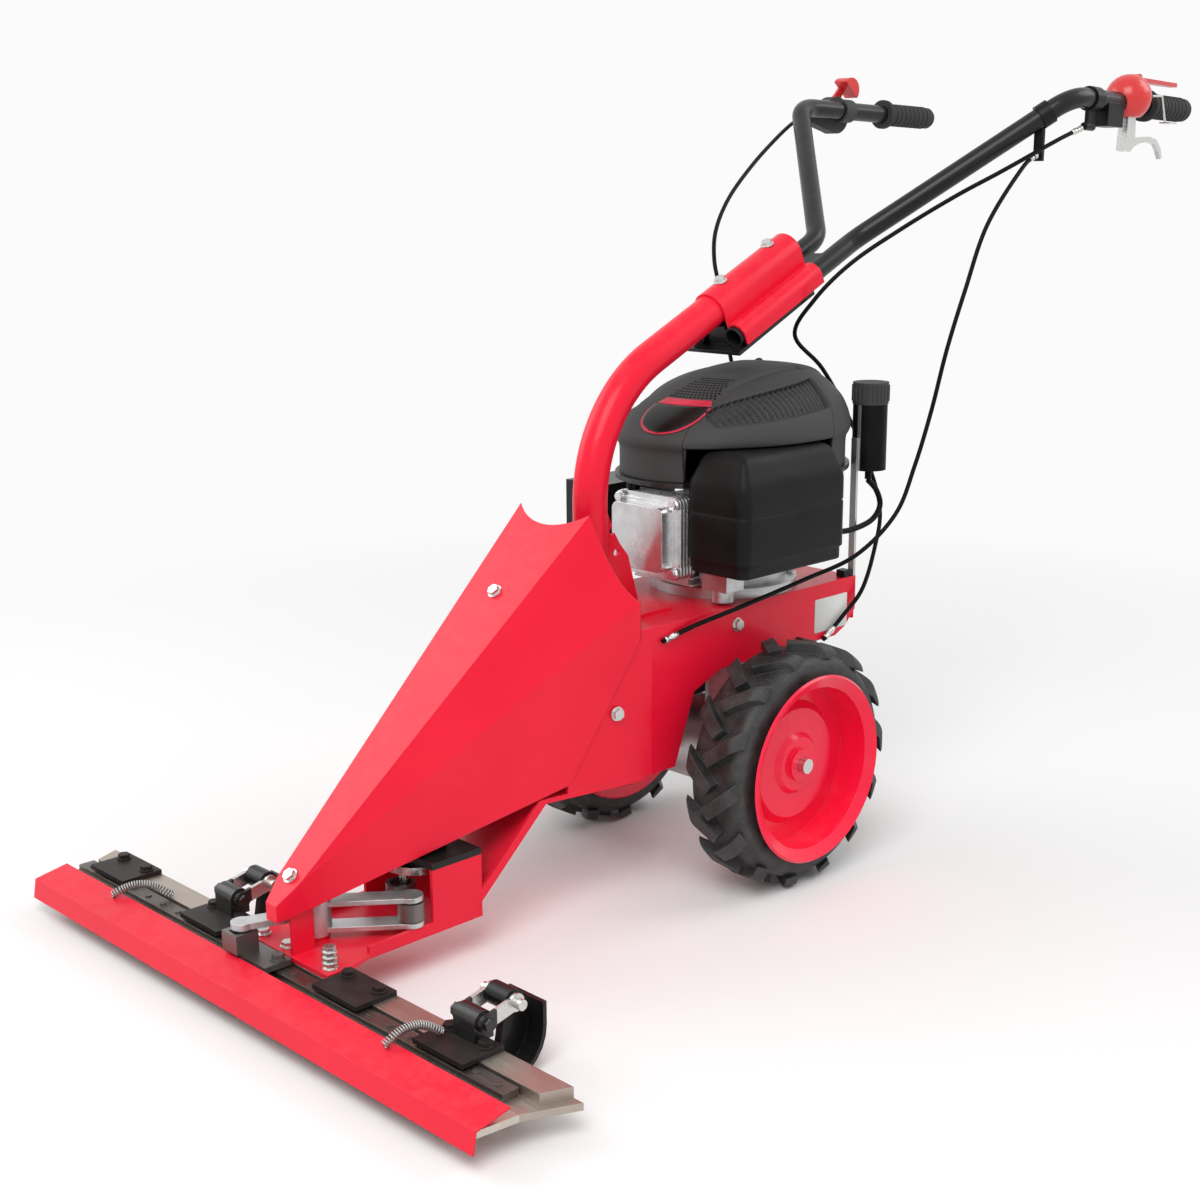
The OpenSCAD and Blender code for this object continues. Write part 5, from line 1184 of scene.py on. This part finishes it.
    def vents(self) -> None:
        """Rows of small round holes above the badge, each row set over by half a pitch; each hole is a
        near-black disc of painted shade set into the dome.
        """
        field = self.field
        columns = np.arange(-field.columns, field.columns + 1)
        row, column = np.meshgrid(np.arange(field.rows), columns, indexing="ij")
        u = (column + 0.5 * (row % 2)) * field.pitch[0]
        v = field.low + row * field.pitch[1]
        kept = np.abs(u) < field.half - field.taper * row
        turn, level = self.on_badge(u[kept], v[kept])
        across, _, out = self.tangents(turn, level)
        middles = self.surface(turn, level)
        up = np.cross(out, across)
        piece = studs("cowl_vent_shade", middles, across, up, field.radius, field.depths, field.sides)
        dressed(piece, "frame", VENT_SHADE)

    def build(self) -> None:
        """Makes the shell and what it carries."""
        self.shell()
        self.badge()
        self.vents()


@dataclass
class AirFilter:
    """The air filter's housing: a rounded box with a tray, a lid seam and a bevelled top.

    The profile's rows are how far the wall is drawn in and its height, in millimetres.
    """

    low: Point = (60.0, -113.0, 420.0)
    size: Point = (104.0, 210.0, 158.0)
    corner: float = 15.0
    corner_draw: float = 0.6
    corner_least: float = 6.0
    points: int = 24
    profile: tuple[Pair, ...] = (
        (5.0, 0.0), (3.4, 1.2), (3.0, 3.0), (3.0, 16.6), (1.4, 17.6), (0.3, 18.6), (0.0, 20.0),
        (0.0, 78.0), (0.3, 79.2), (1.3, 79.8), (1.3, 81.2), (0.3, 81.8), (0.0, 83.0), (0.0, 110.0),
        (0.7, 116.0), (2.6, 122.5), (5.4, 129.0), (8.6, 136.0), (11.5, 142.5), (14.0, 148.0),
        (17.0, 152.6), (21.0, 155.6), (27.0, 157.4), (34.0, 158.0), (46.0, 158.0),
    )

    def build(self) -> None:
        """Rings of a rounded rectangle, drawn in by the profile; it stands for the tray and the cover."""
        draw, z = np.array(self.profile).T
        quarter = np.linspace(0.0, math.pi / 2, self.points)
        turns = (np.arange(4)[:, None] * math.pi / 2 + quarter).reshape(-1)
        signs = np.repeat(np.array([[1, 1], [-1, 1], [-1, -1], [1, -1]]), self.points, axis=0)
        radius = np.maximum(self.corner - self.corner_draw * draw, self.corner_least)[:, None]
        half = np.array(self.size[:2]) / 2
        reach = half - draw[:, None] - radius
        x = signs[:, 0] * reach[:, :1] + radius * np.cos(turns)
        y = signs[:, 1] * reach[:, 1:] + radius * np.sin(turns)
        rings = np.stack([x, y, z[:, None] + 0 * x], axis=-1)
        rings = rings + np.array(self.low) + np.array([half[0], half[1], 0.0])
        piece = grid_mesh("filter_housing", rings * MM, around=True, capped=True)
        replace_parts(dressed(piece, "frame", FILTER), "air_filter_cover", "air_filter_base")


@dataclass
class Trim:
    """Small pieces: a blank plate on the frame and metal sleeves on the cable ends.

    The plate's rows are how far it stands off the frame and how much of its outline is left. The
    sleeve's rows are the distance along the cable and the radius there.
    """

    plate_x: float = 105.0
    plate_y: Pair = (106.0, 178.0)
    plate_z: Pair = (301.0, 349.0)
    plate_round: float = 3.0
    plate_steps: int = 6
    plate_rows: tuple[Pair, ...] = ((0.02, 1.0), (0.42, 1.0), (0.6, 0.992))
    sleeve: tuple[Pair, ...] = (
        (0.0, 3.3), (0.0, 4.4), (3.0, 4.6), (3.5, 3.9), (12.0, 3.9), (12.5, 4.6), (16.0, 4.6), (22.0, 3.5),
        (22.0, 3.05),
    )
    sleeve_start: float = 4.0
    sleeve_nudge: float = 0.01
    sleeve_steps: int = 60
    sleeve_sides: int = 20

    def plate(self) -> None:
        """A blank plate with round corners: one outline raised, drawn in a little and closed."""
        angle = np.linspace(0.0, TURN / 4, self.plate_steps)
        turns = (np.array([2, 3, 0, 1]) * TURN / 4)[:, None] + angle
        (rear, front), (low, top) = self.plate_y, self.plate_z
        corners = np.array([(rear, low), (front, low), (front, top), (rear, top)])
        middle = corners.mean(axis=0)
        inner = corners + np.sign(middle - corners) * self.plate_round
        arcs = inner[:, None] + self.plate_round * np.stack([np.cos(turns), np.sin(turns)], axis=-1)
        spread = arcs.reshape(-1, 2) - middle
        rows = [
            np.column_stack([np.full(len(spread), self.plate_x + lift), middle + spread * draw])
            for lift, draw in self.plate_rows
        ]
        piece = grid_mesh("blank_plate", np.stack(rows) * MM, around=True, capped=True)
        dressed(piece, "frame", PLATE)

    def sleeves(self, cables: Cables) -> None:
        """Turned metal sleeves on the cables' ends: a radius that steps along the cable's own line.

        Args:
            cables: The cables that carry them.
        """
        along, radius = np.array(self.sleeve).T
        marks = (along + self.sleeve_start + self.sleeve_nudge * np.arange(len(along))) * MM
        for name, route in cables.controls().items():
            line = smooth_route(axle_frame(route), self.sleeve_steps)
            for end, run in (("top", line), ("low", line[::-1])):
                places = np.stack([np.interp(marks, travelled(run), column) for column in run.T], axis=1)
                tube = tube_points(places, radius * MM, self.sleeve_sides)
                piece = grid_mesh(f"{name}_sleeve_{end}", tube, around=True, capped=True)
                dressed(piece, "frame", ZINC)

    def build(self, cables: Cables) -> None:
        """Makes the plate and the sleeves."""
        self.plate()
        self.sleeves(cables)


@dataclass(frozen=True)
class Lamp:
    """A square area lamp: its place and aim in metres, the length of its side and its power."""

    name: str
    place: Point
    aim: Point
    size: float
    watts: float

    def build(self) -> None:
        """Makes the lamp, turned to its aim."""
        data = bpy.data.lights.new(self.name, "AREA")
        data.shape = "SQUARE"
        data.size = self.size
        data.energy = self.watts
        lamp = bpy.data.objects.new(self.name, data)
        way = Vector(self.place) - Vector(self.aim)
        turned = way.to_track_quat("Z", "Y").to_matrix().to_4x4()
        lamp.matrix_world = Matrix.Translation(self.place) @ turned
        bpy.context.scene.collection.objects.link(lamp)


@dataclass
class Studio:
    """Camera, lamps, world and floor."""

    azimuth: float = 45.5925
    pitch: float = 13.6315
    roll: float = -0.3215
    distance: float = 2.74552
    target: Point = (-0.32255, 0.10785, 0.27685)
    focal_px: float = 1753.2
    frame_px: float = 1200.0
    sensor: float = 36.0
    white: Colour = (0.9, 0.9, 0.9)
    far_white: float = 0.965
    fade: Pair = (1.1, 2.3)
    ambient: float = 0.55
    floor_radius: float = 30.0
    floor_rings: int = 12
    floor_sides: int = 64
    floor_z: float = -0.0006
    floor_mottle: float = 0.8
    floor_shade: float = 0.01
    floor_rough: float = 0.9
    floor_shine: float = 0.1
    lamps: tuple[Lamp, ...] = (
        Lamp("key", (1.6, -2.4, 3.2), (0.0, -0.2, 0.3), 2.2, 84.0),
        Lamp("fill", (-2.8, -1.6, 2.2), (0.0, -0.1, 0.4), 2.4, 44.0),
        Lamp("rear", (1.8, 2.6, 2.8), (0.0, 0.2, 0.5), 2.0, 40.0),
    )

    def camera(self) -> None:
        """Places the camera from its angles and its distance to the target."""
        a, e, r = (math.radians(v) for v in (self.azimuth, self.pitch, self.roll))
        back = np.array([math.sin(a) * math.cos(e), -math.cos(a) * math.cos(e), math.sin(e)])
        flat = np.array([math.cos(a), math.sin(a), 0.0])
        top = np.cross(back, flat)
        right = math.cos(r) * flat + math.sin(r) * top
        up = math.cos(r) * top - math.sin(r) * flat
        data = bpy.data.cameras.new("camera")
        data.sensor_width = self.sensor
        data.lens = self.sensor * self.focal_px / self.frame_px
        camera = bpy.data.objects.new("camera", data)
        place = np.eye(4)
        place[:3, :3] = np.stack([right, up, back], axis=1)
        place[:3, 3] = np.array(self.target) + back * self.distance
        camera.matrix_world = Matrix(place.tolist())
        bpy.context.scene.collection.objects.link(camera)
        bpy.context.scene.camera = camera

    def world(self) -> None:
        """White to the camera and in reflections, softer as a light."""
        world = bpy.data.worlds.new("studio")
        world.use_nodes = True
        graph = Graph(world.node_tree)
        seen = graph.node("ShaderNodeBackground", None, {"Color": (self.far_white,) * 3})
        light = {"Color": (1.0, 1.0, 1.0), "Strength": self.ambient}
        plain = graph.node("ShaderNodeBackground", None, light)
        mixed = graph.node("ShaderNodeMixShader", None, {0: graph.shown_rays(), 1: plain, 2: seen})
        graph.add("ShaderNodeOutputWorld", inputs={0: mixed})
        bpy.context.scene.world = world

    def floor(self) -> None:
        """A broad pale disc under the wheels, which fades into the background."""
        radius = np.linspace(0.0, self.floor_radius, self.floor_rings)[:, None]
        angle = np.linspace(0.0, TURN, self.floor_sides, endpoint=False)[None]
        z = np.full_like(radius * angle, self.floor_z)
        points = np.stack([radius * np.cos(angle), radius * np.sin(angle), z], axis=-1)
        floor = grid_mesh("floor", points, around=True)
        material = bpy.data.materials.new("floor")
        graph = Surface(material)
        shade = darker(self.white, self.floor_shade)
        tone = graph.blend(graph.noise(self.floor_mottle, detail=2.0), self.white, shade)
        graph.finish(base_color=tone, roughness=self.floor_rough, specular_ior_level=self.floor_shine)
        x, y = graph.axis("X"), graph.axis("Y")
        away = graph.span((x * x + y * y) ** 0.5, *self.fade) * graph.shown_rays()
        glow = graph.node("ShaderNodeEmission", None, {"Color": (self.far_white,) * 3})
        mixed = graph.node("ShaderNodeMixShader", None, {0: away, 1: graph.plain, 2: glow})
        graph.feed(graph.output.inputs[0], mixed)
        floor.data.materials.append(material)

    def build(self) -> None:
        """Makes the studio."""
        bpy.context.scene.view_settings.view_transform = "Standard"
        self.camera()
        self.world()
        self.floor()
        for lamp in self.lamps:
            lamp.build()


def dress_nodes(nodes: Mapping[str, bpy.types.Object]) -> None:
    """Gives the frame's nodes their finishes.

    Args:
        nodes: The frame's objects by node.
    """
    for finish, names in NODE_FINISHES.items():
        for name in names.split():
            piece = nodes[name]
            piece.data.materials.clear()
            piece.data.materials.append(finish.material())
            LOG.info("node %s has %s", name, finish.name)


def corners(box: Any) -> list[list[float]]:
    """A box's two corners as plain lists."""
    return [[float(v) for v in corner] for corner in box]


def main() -> None:
    """Builds the scene in order."""
    logging.basicConfig(level=logging.INFO, format="%(message)s")
    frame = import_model()
    Studio().build()
    cables = Cables()
    cables.build()
    dress_nodes(frame["nodes"])
    Springs().build()
    StarterRope().build()
    Cowl().build()
    AirFilter().build()
    Trim().build(cables)


if __name__ == "__main__":
    main()
